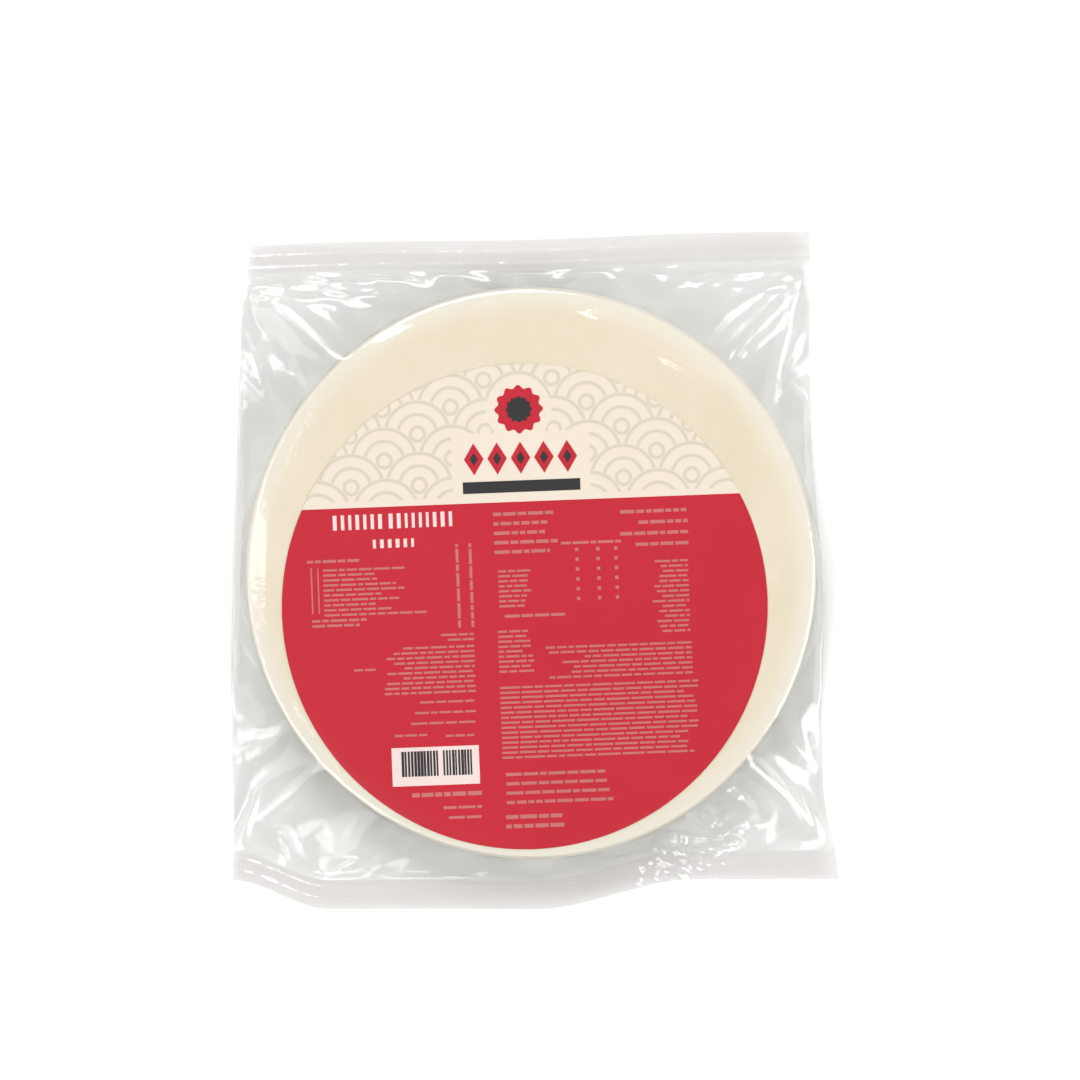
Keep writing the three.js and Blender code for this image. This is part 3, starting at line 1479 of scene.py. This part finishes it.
    def code(self) -> MeshParts:
        """Return the two groups of dark stripes on the panel, of uneven widths.

        Returns:
            The gathered slabs.
        """
        parts = MeshParts()
        draw = np.random.default_rng(SEED + 3)
        inset = np.array(self.code_margin) * (1.0, -1.0, 1.0, -1.0)
        left, right, bottom, top = np.array(self.code_panel) + inset
        for first, last, count in self.code_groups:
            pitch = (last - first) * (right - left) / count
            for number in range(count):
                start = left + first * (right - left) + number * pitch
                end = start + pitch * draw.uniform(*self.code_stripe)
                self.add_bar(parts, (start, end, bottom, top), layer=2)
        return parts


@dataclass
class Links:
    """Threads of the film between pairs of points, which keep their length."""

    first: Array
    second: Array
    rest: Array
    stiffness: float

    def pull(self, points: Array, freedom: Array) -> None:
        """Move each pair towards its resting length, by how free each point is.

        Args:
            points: the film's points, which are moved.
            freedom: 1 where a point is free.
        """
        gap = points[self.second] - points[self.first]
        length = np.sqrt(np.einsum("ij,ij->i", gap, gap))
        first_free, second_free = freedom[self.first], freedom[self.second]
        total = length * (first_free + second_free) + TINY
        gap *= (self.stiffness * (length - self.rest) / total)[:, None]
        points[self.first] += gap * first_free[:, None]
        points[self.second] -= gap * second_free[:, None]


@dataclass(frozen=True)
class Thread:
    """A kind of thread: how many rings and stations it crosses, and how firm it is."""

    rings: int
    stations: int
    stiffness: float


@dataclass(frozen=True)
class Crumple:
    """A place where the film has spare length in every direction."""

    centre: tuple[float, float]
    spread: float
    spare: float


@dataclass(frozen=True)
class Crinkle:
    """A patch of sharp little creases in the film."""

    centre: tuple[float, float]
    spread: float
    height: float
    length: float
    facing: float
    first_slant: float = 0.35
    first_bend: float = 0.9
    first_rate: float = 0.9
    second_run: tuple[float, float] = (-0.5, 0.8)
    second_bend: float = 1.1
    second_rate: float = 0.8
    second_share: float = 0.6
    level: float = 1.1

    def at(self, x: Array, y: Array) -> Array:
        """Return how far the creases lift the film.

        Two sets of wavy lines cross, and the film rises to a sharp crest along each.

        Args:
            x: places across the bag.
            y: places up the bag.

        Returns:
            The height at each place.
        """
        along, across = turned(x, y, self.centre, self.facing)
        turn = math.pi / self.length
        bend = self.first_bend * np.sin(turn * self.first_rate * across)
        first = np.abs(np.sin(turn * (along + self.first_slant * across) + bend))
        bend = self.second_bend * np.sin(turn * self.second_rate * along)
        run = self.second_run[0] * along + self.second_run[1] * across
        second = np.abs(np.sin(turn * run + bend))
        shape = self.level - first - self.second_share * second
        return self.height * bell(x, y, self.centre, self.spread) * shape


@dataclass(frozen=True)
class Ridge:
    """One short soft fold that stands up from the film."""

    centre: tuple[float, float]
    facing: float
    length: float
    width: float
    height: float

    def at(self, x: Array, y: Array) -> Array:
        """Return how far the fold lifts the film at places in plan."""
        along, across = turned(x, y, self.centre, self.facing)
        return self.height * np.exp(-((along / self.length) ** 2) - (across / self.width) ** 2)


@dataclass
class FilmBag:
    """The clear film bag: a loose pillow over the stack, with a sealed band at each end.

    The pillow is a grid of rings and stations. Its rings run from the middle of the top,
    over the stack's shoulder and across the margin to the rim, and back under the stack.
    """

    outline: BagOutline
    stack: StackForm
    label: LabelForm
    stations_per_side: int = 80
    cap_radius: float = 30.0
    flat_rings: int = 11
    fine_radius: float = 85.0
    fine_rings: int = 13
    margin_rings: int = 20
    clearance: float = 0.16
    label_step: float = 5.0
    shoulder_gap: float = 0.35
    shoulder_round: float = 0.9
    rim_height: float = 4.75
    rim_side_lift: float = 2.0
    rim_corner_droop: float = 1.75
    rim_ripple: float = 0.3
    rim_ripple_count: int = 11
    lowest_rim: float = 0.6
    film_gap: float = 0.12
    spare_around: float = 0.012
    spare_at_corners: float = 0.022
    spare_outward: float = 0.004
    loose_from: tuple[float, float] = (-4.0, 6.0)
    crumpled_from: tuple[float, float] = (-16.0, -4.0)
    patch_lengths: tuple[float, float, float, float] = (7.1, 11.0, 8.3, 13.0)
    patch_bend: float = 1.3
    patch_share: float = 0.5
    spare_noise: float = 0.012
    noise_share: float = 0.3
    crumples: tuple[Crumple, ...] = (
        Crumple((56.0, -103.0), 13.0, 0.05),
        Crumple((78.0, -91.0), 11.0, 0.045),
        Crumple((-94.0, -103.0), 12.0, 0.035),
        Crumple((84.0, 84.0), 11.0, 0.035),
        Crumple((-92.0, 76.0), 12.0, 0.03),
    )
    threads: tuple[Thread, ...] = (
        Thread(0, 1, 1.0),
        Thread(1, 0, 1.0),
        Thread(1, 1, 1.0),
        Thread(1, -1, 1.0),
        Thread(0, 2, 0.25),
        Thread(2, 0, 0.25),
        Thread(0, 4, 0.12),
    )
    start_noise: float = 0.7
    noise_rounds: int = 3
    weight: float = 0.0035
    drag: float = 0.04
    leash: float = 0.3
    rim_pull: float = 0.4
    settle_steps: int = 420
    quick_steps: int = 12
    evening_rounds: int = 2
    evening_share: float = 0.35
    lip_width: float = 3.0
    lip_share: float = 0.4
    seal_rows: int = 30
    rib_pitch: float = 4.6
    rib_height: float = 0.15
    rib_margin: float = 0.9
    rib_rise: float = 1.5
    crease_pitch: float = 6.2
    crease_height: float = 0.45
    crease_rise: tuple[float, float] = (0.5, 3.0)
    crease_fade: tuple[float, float] = (10.2, 17.0)
    crease_sides: tuple[float, float] = (38.0, 63.0)
    crease_samples: int = 60
    fold_rise: float = 6.0
    crinkles: tuple[Crinkle, ...] = (
        Crinkle((56.0, -114.0), 12.0, 2.3, 8.0, math.radians(20.0)),
        Crinkle((76.0, -97.0), 9.0, 2.1, 7.2, math.radians(75.0)),
        Crinkle((-95.0, -106.0), 9.0, 0.6, 9.0, math.radians(-30.0)),
        Crinkle((84.0, 82.0), 7.0, 0.5, 8.5, math.radians(-50.0)),
        Crinkle((-90.0, 80.0), 9.0, 0.25, 9.5, math.radians(50.0)),
    )
    ridges: tuple[Ridge, ...] = (
        Ridge((54.0, 82.0), math.radians(-24.0), 8.5, 2.3, 1.15),
        Ridge((62.5, 77.5), math.radians(-24.0), 6.0, 1.8, 0.8),
        Ridge((26.5, 96.6), math.radians(-12.0), 9.0, 2.4, 0.95),
        Ridge((-54.0, 90.0), math.radians(28.0), 9.0, 2.3, 0.8),
        Ridge((-101.5, -2.0), math.radians(90.0), 32.0, 6.5, 1.5),
    )

    def build(self, placement: Placement) -> bpy.types.Object:
        """Settle the film, build it as one closed surface and dress it.

        Args:
            placement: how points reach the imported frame.

        Returns:
            The film's piece.
        """
        points = self.pressed(self.settled(self.start_points()))
        over, under = self.finer(points)
        self.add_folds(over)
        parts = self.closed_surface(over, under)
        film = parts.build("bag_film", placement)
        dress(film, [FILM_FINISHES[zone].build() for zone in FilmZone])
        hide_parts(BAG_NODE)
        return film

    def shoulder_radius(self) -> float:
        """Return the radius of the film's shoulder."""
        return self.stack.radius + self.shoulder_gap

    def edge_ring(self) -> int:
        """Return the number of the ring that runs along the rim."""
        return self.flat_rings + self.fine_rings + self.margin_rings

    def support(self, x: Array, y: Array) -> Array:
        """Return the lowest height of the film over the stack and its label.

        Args:
            x: places across the bag.
            y: places up the bag.

        Returns:
            The height at each place.
        """
        to_label = np.hypot(x - self.label.centre[0], y - self.label.centre[1])
        rim = self.label.radius
        on_label = 1.0 - smooth_rise(to_label, rim, rim + self.label_step)
        lift = self.label.lift(x, y) * on_label
        return self.stack.top(x, y) + lift + self.clearance

    def seal_height(self, x: Array, y: Array) -> Array:
        """Return the height of the bag's rim and seals over a place in plan.

        Args:
            x: places across the bag.
            y: places up the bag.

        Returns:
            The height at each place.
        """
        angle = np.arctan2(y, x)
        level = (
            self.rim_height
            + self.rim_side_lift * np.cos(2.0 * angle)
            + self.rim_corner_droop * np.cos(4.0 * angle)
            + self.rim_ripple * np.sin(self.rim_ripple_count * angle)
        )
        return np.maximum(level, self.lowest_rim)

    def crinkle_lift(self, x: Array, y: Array) -> Array:
        """Return the lift of all creased patches at places in plan."""
        return sum(crinkle.at(x, y) for crinkle in self.crinkles)

    def crease_lift(self, x: Array, y: Array) -> Array:
        """Return the lift of the creases that run beside the top seal.

        Args:
            x: places across the bag.
            y: places up the bag.

        Returns:
            The height at each place.
        """
        line = self.outline.seal_line(Side.TOP, np.linspace(0.0, 1.0, self.crease_samples))
        inside = np.interp(x, line[:, 0], line[:, 1]) - y
        window = smooth_rise(inside, *self.crease_rise)
        window = window * (1.0 - smooth_rise(inside, *self.crease_fade))
        window = window * smooth_rise(np.abs(x), *self.crease_sides)
        return self.crease_height * window * np.sin(2.0 * math.pi * inside / self.crease_pitch)

    def start_points(self) -> Array:
        """Return the taut film.

        Returns:
            A grid of rings, stations and x, y, z.
        """
        rim = self.outline.pillow_rim(self.stations_per_side)
        away = rim / np.linalg.norm(rim, axis=1, keepdims=True)
        coarse = np.linspace(self.cap_radius, self.fine_radius, self.flat_rings + 1)[:-1]
        fine = np.linspace(self.fine_radius, self.shoulder_radius(), self.fine_rings + 1)
        rings = []
        for radius in np.concatenate((coarse, fine)):
            plan = away * radius
            rings.append(np.column_stack((plan, self.support(plan[:, 0], plan[:, 1]))))
        shoulder = rings[-1]
        rim_points = np.column_stack((rim, self.seal_height(rim[:, 0], rim[:, 1])))
        foot = shoulder.copy()
        foot[:, 2] = self.clearance
        steps = np.linspace(0.0, 1.0, self.margin_rings + 1)[1:]
        rings.extend(blend(shoulder, rim_points, step) for step in steps)
        rings.extend(blend(foot, rim_points, step) for step in steps[-2::-1])
        rings.append(foot)
        return np.array(rings)

    def spare(self, points: Array, along: Array) -> Array:
        """Return how much longer the film is than the taut one, at points of the grid.

        Args:
            points: the middles of the threads.
            along: for each thread, 1 where it runs round the stack and 0 where it runs out.

        Returns:
            The share of length that each thread has to spare.
        """
        x, y = points[..., 0], points[..., 1]
        reach = np.hypot(x, y) - self.shoulder_radius()
        loose = smooth_rise(reach, *self.loose_from)
        corner = np.abs(np.sin(2.0 * np.arctan2(y, x)))
        around = self.spare_around + self.spare_at_corners * corner**2
        total = loose * blend(self.spare_outward, around, along)
        for crumple in self.crumples:
            hump = bell(x, y, crumple.centre, crumple.spread)
            total = total + crumple.spare * hump * smooth_rise(reach, *self.crumpled_from)
        first, second, third, fourth = self.patch_lengths
        patches = np.sin(x / first + self.patch_bend * np.sin(y / second))
        patches = patches * np.sin(y / third + np.sin(x / fourth))
        uneven = total * (1.0 + self.patch_share * patches)
        return uneven + self.spare_noise * loose * np.abs(patches) * self.noise_share

    def link(self, points: Array, thread: Thread) -> list[Links]:
        """Return the threads of one kind between the points of the grid.

        Args:
            points: the taut film.
            thread: the kind of thread.

        Returns:
            Two sets of threads. No two threads of one set share a point.
        """
        rings, stations = points.shape[:2]
        numbers = np.arange(rings * stations).reshape(rings, stations)
        first = numbers[: rings - thread.rings]
        second = np.roll(numbers, -thread.stations, axis=1)[thread.rings :]
        flat = points.reshape(-1, 3)
        ring, station = np.indices(first.shape)
        if thread.rings:
            turn = ring // thread.rings % 2
        else:
            turn = station // thread.stations % 2
        edge = self.edge_ring()
        crosses_edge = (ring < edge) & (ring + thread.rings > edge)
        found = []
        for which in (0, 1):
            chosen = (turn == which) & ~crosses_edge
            a, b = first[chosen], second[chosen]
            gap = flat[b] - flat[a]
            length = np.linalg.norm(gap, axis=1)
            middle = (flat[a] + flat[b]) / 2.0
            outward = middle[:, :2] / np.linalg.norm(middle[:, :2], axis=1, keepdims=True)
            radial = np.einsum("ij,ij->i", gap[:, :2], outward) / (length + TINY)
            spare = self.spare(middle, 1.0 - np.minimum(radial**2, 1.0))
            found.append(Links(a, b, length * (1.0 + spare), thread.stiffness))
        return found

    def settled(self, points: Array) -> Array:
        """Let the film find its folds.

        The taut film gets its spare length and a little weight. Its threads keep their
        length, and it stays out of the stack, above the table and above its own back.

        Args:
            points: the taut film.

        Returns:
            The settled film, on the same grid.
        """
        edge = self.edge_ring()
        links = [found for thread in self.threads for found in self.link(points, thread)]
        freedom = self.freedom(*points.shape[:2])
        target = points[edge, :, :2].copy()
        reach = np.linalg.norm(points[..., :2], axis=2)
        furthest = blend(reach, reach[edge], self.leash)
        now = points.copy()
        now[..., 2] += self.roughness(*points.shape[:2]) * freedom
        before = now.copy()
        flat_freedom = freedom.ravel()
        for _ in range(self.settle_steps):
            moving = (now - before) * (1.0 - self.drag)
            before = now.copy()
            now += moving * freedom[..., None]
            now[..., 2] -= self.weight * freedom
            flat = now.reshape(-1, 3)
            for group in links:
                group.pull(flat, flat_freedom)
            self.keep_clear(now, freedom, edge)
            reach = np.linalg.norm(now[..., :2], axis=2)
            now[..., :2] *= np.minimum(1.0, furthest / reach)[..., None]
            now[edge, :, :2] = blend(now[edge, :, :2], target, self.rim_pull)
        return self.evened(now, freedom)

    def freedom(self, rings: int, stations: int) -> Array:
        """Return how free each point of the film is.

        Args:
            rings: how many rings the grid has.
            stations: how many stations.

        Returns:
            1 at each free point, and 0 at the first and last rings, along the seals and
            at the bag's corners.
        """
        freedom = np.ones((rings, stations))
        freedom[0] = freedom[-1] = 0.0
        sealed = np.arange(stations) // self.stations_per_side % 2 == 0
        corner = np.arange(stations) % self.stations_per_side == 0
        freedom[self.edge_ring(), sealed | corner] = 0.0
        return freedom

    def roughness(self, rings: int, stations: int) -> Array:
        """Return the small random heights that the folds grow from.

        Args:
            rings: how many rings the grid has.
            stations: how many stations.

        Returns:
            The height at each point.
        """
        draw = np.random.default_rng(SEED)
        rough = draw.normal(0.0, self.start_noise, (rings, stations))
        for _ in range(self.noise_rounds):
            rough = (rough + np.roll(rough, 1, axis=1) + np.roll(rough, -1, axis=1)) / 3.0
            rough[1:-1] = (rough[:-2] + rough[1:-1] + rough[2:]) / 3.0
        return rough

    def keep_clear(self, now: Array, freedom: Array, edge: int) -> None:
        """Push the film out of the stack, off the table and off its own back.

        Args:
            now: the film's points, which are moved.
            freedom: how free each point is.
            edge: the number of the ring at the rim.
        """
        upper = now[: edge + 1]
        x, y, z = upper[..., 0], upper[..., 1], upper[..., 2]
        reach = np.hypot(x, y)
        beyond = reach - (self.shoulder_radius() - self.shoulder_round)
        above = z - (self.support(x, y) - self.shoulder_round)
        corner = np.hypot(np.maximum(beyond, 0.0), np.maximum(above, 0.0))
        depth = corner + np.minimum(np.maximum(beyond, above), 0.0) - self.shoulder_round
        inside = (depth < 0.0) & (freedom[: edge + 1] > 0.0)
        at_corner = (beyond > 0.0) & (above > 0.0)
        out_share = np.where(at_corner, beyond / (corner + TINY), beyond > above)
        up_share = np.where(at_corner, above / (corner + TINY), beyond <= above)
        push = np.where(inside, -depth, 0.0)
        upper[..., 0] += push * out_share * x / (reach + TINY)
        upper[..., 1] += push * out_share * y / (reach + TINY)
        upper[..., 2] += push * up_share
        np.maximum(now[..., 2], self.clearance, out=now[..., 2])
        count = now.shape[0] - 1 - edge
        front = now[edge - count : edge][::-1]
        back = now[edge + 1 :]
        overlap = np.maximum(self.film_gap - (front[..., 2] - back[..., 2]), 0.0)
        front[..., 2] += overlap / 2.0
        back[..., 2] -= overlap / 2.0 * (back[..., 2] > self.clearance * 2.0)

    def evened(self, points: Array, freedom: Array) -> Array:
        """Return the film with the unevenness of single threads evened out.

        Args:
            points: the film.
            freedom: how free each point is.

        Returns:
            The evened film.
        """
        for _ in range(self.evening_rounds):
            around = (np.roll(points, 1, axis=1) + np.roll(points, -1, axis=1)) / 2.0
            points = blend(points, around, self.evening_share * freedom[..., None])
        return points

    def pressed(self, points: Array) -> Array:
        """Return the film with its rim pressed flat, as a seal or a folded edge is.

        Args:
            points: the film, which is changed.

        Returns:
            The pressed film.
        """
        rim = points[self.edge_ring()]
        step = np.linalg.norm(points[..., :2] - rim[None, :, :2], axis=2)
        margin = np.linalg.norm(rim[:, :2], axis=1) - self.shoulder_radius()
        lip = np.minimum(self.lip_width, self.lip_share * margin)
        points[..., 2] = blend(rim[None, :, 2], points[..., 2], smooth_rise(step / lip, 0.0, 1.0))
        return points

    def add_folds(self, over: Array) -> None:
        """Lift the front's fine folds, and let them fade towards the stack and the rim.

        Args:
            over: the front of the film, which is changed.
        """
        x, y = over[..., 0], over[..., 1]
        lift = self.crinkle_lift(x, y) + self.crease_lift(x, y)
        shoulder = self.shoulder_radius()
        over[..., 2] += lift * smooth_rise(np.hypot(x, y), shoulder, shoulder + self.fold_rise)
        for ridge in self.ridges:
            over[..., 2] += ridge.at(x, y)
        np.maximum(over[..., 2], self.clearance * 2.0, out=over[..., 2])

    def finer(self, points: Array) -> tuple[Array, Array]:
        """Return the pillow on a finer grid: twice the stations, and twice the front's rings.

        Args:
            points: the film.

        Returns:
            The front from the middle to the rim, and the back from the rim to the foot.
        """
        edge = self.edge_ring()
        wide = np.empty((points.shape[0], points.shape[1] * 2, 3))
        wide[:, 0::2] = points
        near = points + np.roll(points, -1, axis=1)
        far = np.roll(points, 1, axis=1) + np.roll(points, -2, axis=1)
        wide[:, 1::2] = midway(near, far)
        front = wide[: edge + 1]
        between = (front[:-1] + front[1:]) / 2.0
        between[1:-1] = midway(front[1:-2] + front[2:-1], front[:-3] + front[3:])
        over = np.empty((2 * front.shape[0] - 1, *front.shape[1:]))
        over[0::2] = front
        over[1::2] = between
        return over, wide[edge:]

    def closed_surface(self, over: Array, under: Array) -> MeshParts:
        """Return front, back and seals as one closed surface.

        Args:
            over: the rings of the front, from the middle to the rim.
            under: the rings of the back, from the rim to the stack's foot.

        Returns:
            The gathered points and faces.
        """
        parts = MeshParts()
        stations = over.shape[1]
        per_side = self.stations_per_side * 2
        sealed = np.arange(stations) // per_side % 2 == 0
        sealed &= np.arange(stations) % per_side != 0
        front_rim, back_rim = over[-1].copy(), over[-1].copy()
        front_rim[sealed, 2] += self.film_gap / 2.0
        back_rim[sealed, 2] -= self.film_gap / 2.0
        front = parts.add_points(over[:-1])
        front_edge = parts.add_points(front_rim)
        back_edge = front_edge.copy()
        back_edge[sealed] = parts.add_points(back_rim[sealed])
        back = parts.add_points(under[1:])
        rings = [*front, front_edge]
        shoulder = 2 * (self.flat_rings + self.fine_rings)
        for number, (inner, outer) in enumerate(zip(rings[:-1], rings[1:])):
            parts.zone = (FilmZone.TAUT if number < shoulder else FilmZone.LOOSE).value
            parts.add_band(inner, outer, flip=True)
        rings = [back_edge, *back]
        for outer, inner in zip(rings[:-1], rings[1:]):
            parts.add_band(outer, inner, flip=True)
        parts.zone = FilmZone.TAUT.value
        for ring, points, flip in ((front[0], over[0], True), (back[-1], under[-1], False)):
            centre = parts.add_points(points.mean(axis=0)[None, :])[0]
            parts.add_fan(int(centre), ring, flip=flip)
        parts.zone = FilmZone.SEALED.value
        for side in (Side.TOP, Side.BOTTOM):
            self.add_seal(parts, side, over[-1], front_edge, back_edge)
        return parts

    def add_seal(
        self, parts: MeshParts, side: Side, rim: Array, front_edge: Array, back_edge: Array
    ) -> None:
        """Add one ribbed seal from its inner line out to the bag's edge.

        Args:
            parts: the mesh that takes it.
            side: the top or the bottom side.
            rim: the pillow's rim.
            front_edge: the numbers of the front's points at the rim.
            back_edge: the numbers of the back's points at the rim.
        """
        per_side = self.stations_per_side * 2
        chosen = (side.value * per_side + np.arange(per_side + 1)) % len(rim)
        inner = rim[chosen]
        outer = self.outline.edge(side, np.linspace(0.0, 1.0, per_side + 1))
        depth = np.linspace(0.0, 1.0, self.seal_rows + 1)[1:]
        plan = blend(inner[None, :, :2], outer[None], depth[:, None, None])
        level = self.seal_height(plan[..., 0], plan[..., 1])
        level += self.crinkle_lift(plan[..., 0], plan[..., 1])
        off_line = inner[:, 2] - self.seal_height(inner[:, 0], inner[:, 1])
        off_line -= self.crinkle_lift(inner[:, 0], inner[:, 1])
        level += off_line[None] * (1.0 - depth[:, None])
        distance = depth * self.outline.seal_depth
        end = self.outline.seal_depth - self.rib_margin
        inside = smooth_rise(distance, 0.0, self.rib_rise)
        inside = inside * (1.0 - smooth_rise(distance, end - self.rib_rise, end))
        ribs = self.rib_height * inside * np.sin(2.0 * math.pi * distance / self.rib_pitch)
        level += ribs[:, None]
        ends = np.ones(per_side + 1, bool)
        ends[1:-1] = False
        gap = np.full(plan.shape[:2], self.film_gap / 2.0)
        gap[:, ends] = 0.0
        gap[-1] = 0.0
        high = parts.add_points(np.dstack((plan, level + gap)))
        low = high.copy()
        low[:-1, 1:-1] = parts.add_points(np.dstack((plan, level - gap))[:-1, 1:-1])
        parts.add_grid(np.vstack((front_edge[chosen][None], high)), flip=True)
        parts.add_grid(np.vstack((back_edge[chosen][None], low)))


@dataclass(frozen=True)
class Lamp:
    """A square soft light that faces the pack, with its place and size in metres."""

    name: str
    place: tuple[float, float, float]
    size: float
    watts: float


@dataclass
class Studio:
    """A plain white table, soft light that is strongest from the top, and the camera above."""

    stack: StackForm
    pixel: float = 0.3846
    stack_pixel: tuple[float, float] = (531.0, 573.0)
    frame_pixels: float = 1080.0
    distance: float = 1.5
    sensor: float = 36.0
    table_size: float = 6.0
    table_colour: Colour = (0.8, 0.8, 0.8)
    table_roughness: float = 0.8
    table_specular: float = 0.1
    sky_colour: Colour = (1.0, 1.0, 1.0)
    sky_facing: tuple[float, float, float] = (-0.25, 0.97, 0.0)
    sky_heights: tuple[float, float, float, float] = (0.84, 0.982, 0.53, 0.26)
    sky_sides: tuple[float, float, float, float] = (-1.0, 1.0, 0.85, 1.15)
    lamps: tuple[Lamp, ...] = (
        Lamp("key_light", (-0.3, 1.1, 1.05), 0.8, 14.4),
        Lamp("high_left_light", (-0.8, 0.15, 1.25), 0.45, 2.1),
        Lamp("low_left_light", (-1.2, -0.55, 0.6), 1.2, 6.6),
        Lamp("front_left_light", (-0.75, -0.66, 1.1), 0.7, 5.0),
        Lamp("right_light", (1.25, -0.3, 0.8), 0.9, 18.0),
    )

    def build(self, placement: Placement) -> None:
        """Build the table, the lights and the camera.

        Args:
            placement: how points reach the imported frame.
        """
        self.add_table()
        self.add_sky()
        for lamp in self.lamps:
            self.add_lamp(lamp)
        self.add_camera(placement)
        bpy.context.scene.view_settings.view_transform = "Standard"

    def add_table(self) -> None:
        """Add the white table top."""
        half = self.table_size / 2.0
        mesh = bpy.data.meshes.new("table")
        corners = [(-half, -half, 0.0), (half, -half, 0.0), (half, half, 0.0), (-half, half, 0.0)]
        mesh.from_pydata(corners, [], [(0, 1, 2, 3)])
        table = bpy.data.objects.new("table", mesh)
        bpy.context.scene.collection.objects.link(table)
        material = bpy.data.materials.new("white_table")
        graph = NodeGraph(material)
        colour = opaque(self.table_colour)
        shader = graph.principled(colour, self.table_roughness, self.table_specular)
        graph.show(shader.outputs[0])
        mesh.materials.append(material)

    def add_sky(self) -> None:
        """Add soft light from all round, brighter towards the top left."""
        world = bpy.data.worlds.new("studio")
        bpy.context.scene.world = world
        graph = NodeGraph(world)
        where = graph.add("ShaderNodeTexCoord").outputs["Generated"]
        by_height = self.sky_ramp(graph, where, (0.0, 0.0, 1.0), self.sky_heights)
        by_side = self.sky_ramp(graph, where, self.sky_facing, self.sky_sides)
        back = graph.add("ShaderNodeBackground")
        back.inputs["Color"].default_value = opaque(self.sky_colour)
        graph.feed(back.inputs["Strength"], graph.math("MULTIPLY", by_height, by_side))
        output = graph.add("ShaderNodeOutputWorld")
        graph.feed(output.inputs["Surface"], back.outputs[0])

    def sky_ramp(
        self,
        graph: NodeGraph,
        where: Socket,
        facing: tuple[float, float, float],
        marks: tuple[float, float, float, float],
    ) -> Socket:
        """Return a brightness that changes smoothly towards one direction.

        Args:
            graph: the world's nodes.
            where: the direction looked in.
            facing: the direction in which the brightness changes.
            marks: the two places along it, and the brightness at each.

        Returns:
            The brightness.
        """
        towards = graph.add("ShaderNodeVectorMath", operation="DOT_PRODUCT")
        graph.feed(towards.inputs[0], where)
        towards.inputs[1].default_value = facing
        ramp = graph.add("ShaderNodeMapRange", interpolation_type="SMOOTHSTEP")
        graph.feed(ramp.inputs["Value"], towards.outputs["Value"])
        names = ("From Min", "From Max", "To Min", "To Max")
        for name, mark in zip(names, marks):
            ramp.inputs[name].default_value = mark
        return ramp.outputs[0]

    def add_lamp(self, lamp: Lamp) -> None:
        """Add a lamp and turn it to the pack.

        Args:
            lamp: the lamp's place, size and power.
        """
        light = bpy.data.lights.new(lamp.name, "AREA")
        light.shape = "SQUARE"
        light.size = lamp.size
        light.energy = lamp.watts
        holder = bpy.data.objects.new(lamp.name, light)
        holder.location = lamp.place
        toward = -np.array(lamp.place) / np.linalg.norm(lamp.place)
        holder.rotation_mode = "QUATERNION"
        holder.rotation_quaternion = Vector(toward).to_track_quat("-Z", "Y")
        bpy.context.scene.collection.objects.link(holder)

    def add_camera(self, placement: Placement) -> None:
        """Add the camera, straight above, framed as in the photograph.

        Args:
            placement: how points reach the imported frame.
        """
        half = self.frame_pixels / 2.0
        x = (half - self.stack_pixel[0]) * self.pixel
        y = (self.stack_pixel[1] - half) * self.pixel
        place = placement.place(np.array((x, y, self.stack.height)))
        camera = bpy.data.cameras.new("camera")
        camera.sensor_width = self.sensor
        width = self.frame_pixels * self.pixel * METRES
        camera.lens = self.sensor * self.distance / width
        holder = bpy.data.objects.new("camera", camera)
        holder.location = (place[0], place[1], place[2] + self.distance)
        bpy.context.scene.collection.objects.link(holder)
        bpy.context.scene.camera = holder


def main() -> None:
    """Build the pack, the table, the lights and the camera."""
    logging.basicConfig(level=logging.INFO, format="%(message)s")
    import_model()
    outline = BagOutline()
    stack = StackForm()
    label = LabelForm()
    placement = Placement(outline)
    Studio(stack).build(placement)
    SheetStack(stack).build(placement)
    Label(stack, label).build(placement)
    FilmBag(outline, stack, label).build(placement)


if __name__ == "__main__":
    main()
